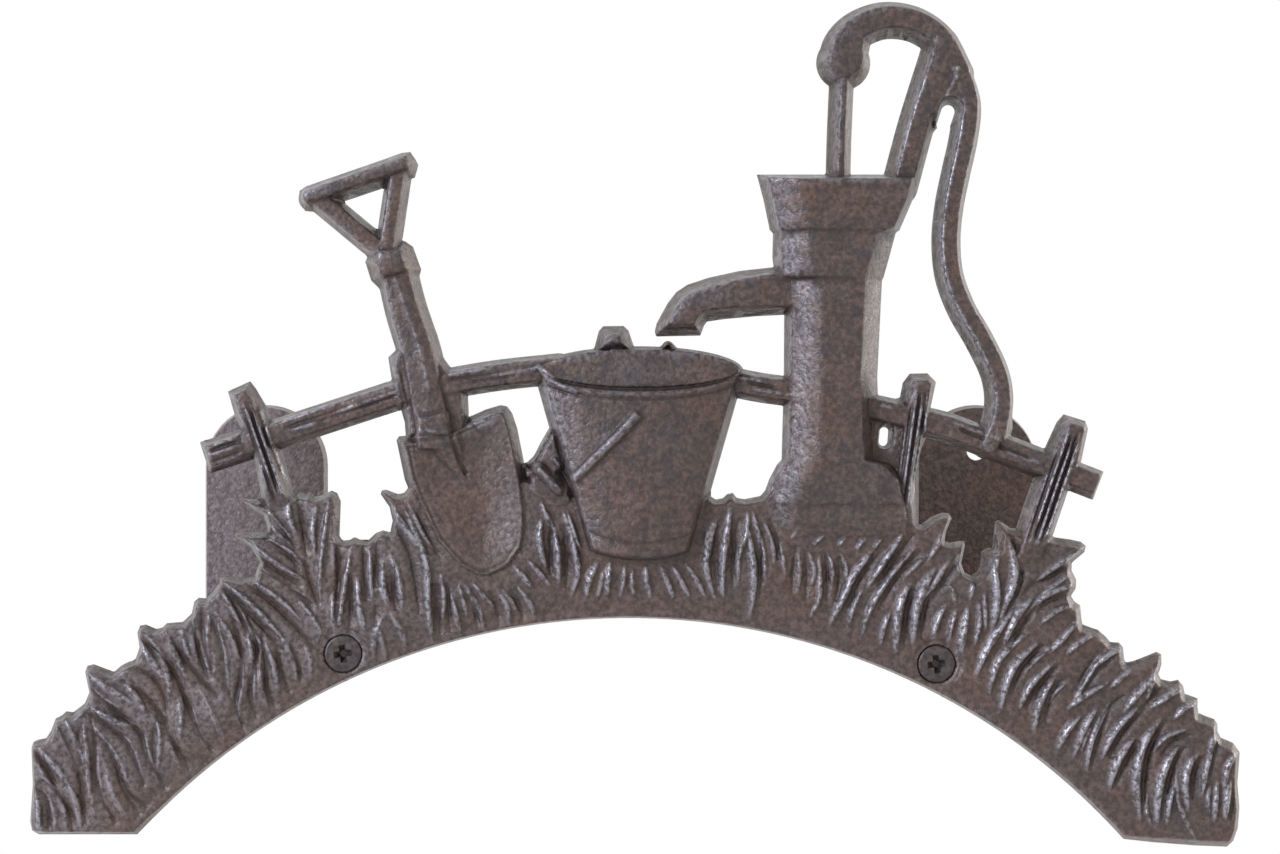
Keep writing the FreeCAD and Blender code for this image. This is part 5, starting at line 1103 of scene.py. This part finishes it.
def black_oxide():
    """Black oxide over turned steel: dark, with a slight mottle in its colour and gloss, and a
    little brown wax left from the finishing of the plate."""
    material, tree, shader, place = new_material("black_oxide_steel")
    mottle = add_node(tree, "ShaderNodeTexNoise", {}, {"Scale": 1000 / OXIDE_MOTTLE, "Detail": 4.0},
                      {"Vector": place})
    share = add_node(tree, "ShaderNodeMapRange", {}, {"From Min": 0.38, "From Max": 0.62},
                     {"Value": mottle.outputs["Fac"]})
    colour = add_node(tree, "ShaderNodeMix", {"data_type": "RGBA"},
                      {"A": BLACK_OXIDE, "B": BROWN_FILM}, {"Factor": share.outputs["Result"]})
    rough = add_node(tree, "ShaderNodeMapRange", {},
                     {"From Min": 0.3, "From Max": 0.7, "To Min": 0.34, "To Max": 0.5},
                     {"Value": mottle.outputs["Fac"]})
    bump = add_node(tree, "ShaderNodeBump", {}, {"Strength": 0.25, "Distance": 0.0001},
                    {"Height": mottle.outputs["Fac"]})
    tree.links.new(colour.outputs["Result"], shader.inputs["Base Color"])
    tree.links.new(rough.outputs["Result"], shader.inputs["Roughness"])
    tree.links.new(bump.outputs["Normal"], shader.inputs["Normal"])
    shader.inputs["Metallic"].default_value = 0.35
    return material


screws.data.materials.append(black_oxide())
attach(screws, "root")
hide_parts("plate_screws")


# The two nuts. Hexagon nuts of steel with a dull zinc plating, cold formed, with a bevel on both
# faces; they pull the screws against the back of the saddle's lugs.

NUT_FLATS = 10.0            # across the flats
NUT_FRONT = 120.0           # wall to the front face
NUT_BACK = 115.0
NUT_BORE = 3.05             # radius of the bore
NUT_FACE = 3.9              # radius of the ring around the bore; rows beyond it follow the hexagon
BEYOND = 9.0                # stands in the rows for the hexagon's own radius


def nut_radius(out, radius, turn):
    """Rows beyond the bore follow the hexagon, cut back to a circle by the bevel at each face."""
    hexagon = NUT_FLATS / 2 / np.cos((turn + math.pi / 6) % (math.pi / 3) - math.pi / 6)
    face_gap = np.minimum(NUT_FRONT - out, out - NUT_BACK)
    bevel = NUT_FLATS / 2 * 0.95 + face_gap / math.tan(math.radians(30))
    return np.where(radius < 4.0, radius + 0 * turn, np.minimum(np.minimum(hexagon, bevel), radius))


bevel_steps = np.linspace(0, 1, 12) ** 1.6 * 0.8
nut_rows = [(NUT_FRONT, NUT_BORE), (NUT_FRONT, NUT_FACE)]
nut_rows += [(NUT_FRONT - s, BEYOND) for s in bevel_steps]
nut_rows += [(NUT_BACK + s, BEYOND) for s in bevel_steps[::-1]]
nut_rows += [(NUT_BACK, NUT_FACE), (NUT_BACK, NUT_BORE), ((NUT_FRONT + NUT_BACK) / 2, NUT_BORE),
             (NUT_FRONT, NUT_BORE)]
nuts = turned("screw_nuts_formed", SCREWS, nut_rows, nut_radius, 96)


ZINC_GREY = linear("8f9192")
ZINC_PALE = linear("b4b5b2")
ZINC_BLOOM = 2.4            # blooms on the plating, in millimetres


def dull_zinc():
    """Electroplated zinc that has gone dull: grey with paler blooms, half rough."""
    material, tree, shader, place = new_material("dull_zinc_steel")
    bloom = add_node(tree, "ShaderNodeTexNoise", {}, {"Scale": 1000 / ZINC_BLOOM, "Detail": 5.0},
                     {"Vector": place})
    share = add_node(tree, "ShaderNodeMapRange", {}, {"From Min": 0.35, "From Max": 0.65},
                     {"Value": bloom.outputs["Fac"]})
    colour = add_node(tree, "ShaderNodeMix", {"data_type": "RGBA"},
                      {"A": ZINC_GREY, "B": ZINC_PALE}, {"Factor": share.outputs["Result"]})
    rough = add_node(tree, "ShaderNodeMapRange", {},
                     {"From Min": 0.3, "From Max": 0.7, "To Min": 0.30, "To Max": 0.48},
                     {"Value": bloom.outputs["Fac"]})
    tree.links.new(colour.outputs["Result"], shader.inputs["Base Color"])
    tree.links.new(rough.outputs["Result"], shader.inputs["Roughness"])
    shader.inputs["Metallic"].default_value = 1.0
    return material


nuts.data.materials.append(dull_zinc())
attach(nuts, "root")
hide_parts("screw_nuts")


# The studio: a pale floor well below the hanger, white surroundings that are brightest behind it,
# one large cool light from the left, a weak warm one from the right, and one behind at the right
# that only reaches the flanks.

FLOOR_LEVEL = -0.30
floor_mesh = bpy.data.meshes.new("floor")
floor_mesh.from_pydata([(-1.2, -0.75, FLOOR_LEVEL), (1.2, -0.75, FLOOR_LEVEL), (1.2, 0.35, FLOOR_LEVEL),
                        (-1.2, 0.35, FLOOR_LEVEL)], [], [(0, 1, 2, 3)])
floor = bpy.data.objects.new("floor", floor_mesh)
bpy.context.scene.collection.objects.link(floor)


def studio_paper():
    """Matt white paper with a barely visible fibre, drawn far coarser than it is, so that the floor
    isn't one flat colour."""
    material, tree, shader, place = new_material("studio_paper")
    fibre = add_node(tree, "ShaderNodeTexNoise", {}, {"Scale": 60.0, "Detail": 4.0}, {"Vector": place})
    colour = add_node(tree, "ShaderNodeMix", {"data_type": "RGBA"},
                      {"A": linear("f3f2f0"), "B": linear("f8f7f6")}, {"Factor": fibre.outputs["Fac"]})
    tree.links.new(colour.outputs["Result"], shader.inputs["Base Color"])
    shader.inputs["Roughness"].default_value = 0.9
    return material


floor_mesh.materials.append(studio_paper())

world = bpy.data.worlds.new("studio")
bpy.context.scene.world = world
world.use_nodes = True
tree = world.node_tree
tree.nodes.clear()
rays = add_node(tree, "ShaderNodeLightPath")
seen = add_node(tree, "ShaderNodeMath", {"operation": "MAXIMUM"}, {},
                {0: rays.outputs["Is Camera Ray"], 1: rays.outputs["Is Glossy Ray"]})
seen_all = add_node(tree, "ShaderNodeMath", {"operation": "MAXIMUM"}, {},
                    {0: seen.outputs["Value"], 1: rays.outputs["Is Transmission Ray"]})
direction = add_node(tree, "ShaderNodeTexCoord")
parts = add_node(tree, "ShaderNodeSeparateXYZ", {}, {}, {"Vector": direction.outputs["Generated"]})
behind = add_node(tree, "ShaderNodeMapRange", {},
                  {"From Min": -0.3, "From Max": 0.2, "To Min": 0.20, "To Max": 1.1},
                  {"Value": parts.outputs["Y"]})
below = add_node(tree, "ShaderNodeMapRange", {},
                 {"From Min": -0.9, "From Max": 0.1, "To Min": 0.3, "To Max": 1.0},
                 {"Value": parts.outputs["Z"]})
level = add_node(tree, "ShaderNodeMath", {"operation": "MULTIPLY"}, {},
                 {0: behind.outputs["Result"], 1: below.outputs["Result"]})
soft = add_node(tree, "ShaderNodeBackground", {}, {"Color": linear("f4f2f2")},
                {"Strength": level.outputs["Value"]})
bright = add_node(tree, "ShaderNodeBackground", {}, {"Color": (1, 1, 1, 1), "Strength": 1.0})
either = add_node(tree, "ShaderNodeMixShader", {}, {}, {"Fac": seen_all.outputs["Value"]})
tree.links.new(soft.outputs["Background"], either.inputs[1])
tree.links.new(bright.outputs["Background"], either.inputs[2])
surroundings = add_node(tree, "ShaderNodeOutputWorld")
tree.links.new(either.outputs["Shader"], surroundings.inputs["Surface"])


def soft_light(name, place, target, size, watts, colour):
    """A square area light at a place, aimed at a target."""
    lamp = bpy.data.lights.new(name, "AREA")
    lamp.size = size
    lamp.energy = watts
    lamp.color = linear(colour)[:3]
    holder = bpy.data.objects.new(name, lamp)
    holder.location = place
    holder.rotation_euler = (Vector(target) - Vector(place)).to_track_quat("-Z", "Y").to_euler()
    bpy.context.scene.collection.objects.link(holder)


soft_light("key_left", (-1.25, -1.15, 0.55), (0, -0.12, 0), 0.8, 31.5, "e9eeff")
soft_light("rim_right", (1.35, 0.3, 0.3), (0, -0.13, 0), 0.8, 13.0, "fff6f0")
soft_light("fill_right", (1.3, -0.9, 0.35), (0, -0.12, 0), 0.9, 3.5, "fff1e4")


# The camera stands before the hanger a little left of its middle, as the ears show. A long lens.

camera = bpy.data.cameras.new("camera")
camera.sensor_width = 36
camera.lens = 77.8
camera.shift_x = 0.0561
camera.clip_start = 0.05
camera_holder = bpy.data.objects.new("camera", camera)
camera_holder.location = (-0.019, -0.996, 0.00849)
camera_holder.rotation_euler = (math.pi / 2, 0, 0)
bpy.context.scene.collection.objects.link(camera_holder)
bpy.context.scene.camera = camera_holder
bpy.context.scene.view_settings.view_transform = "Standard"
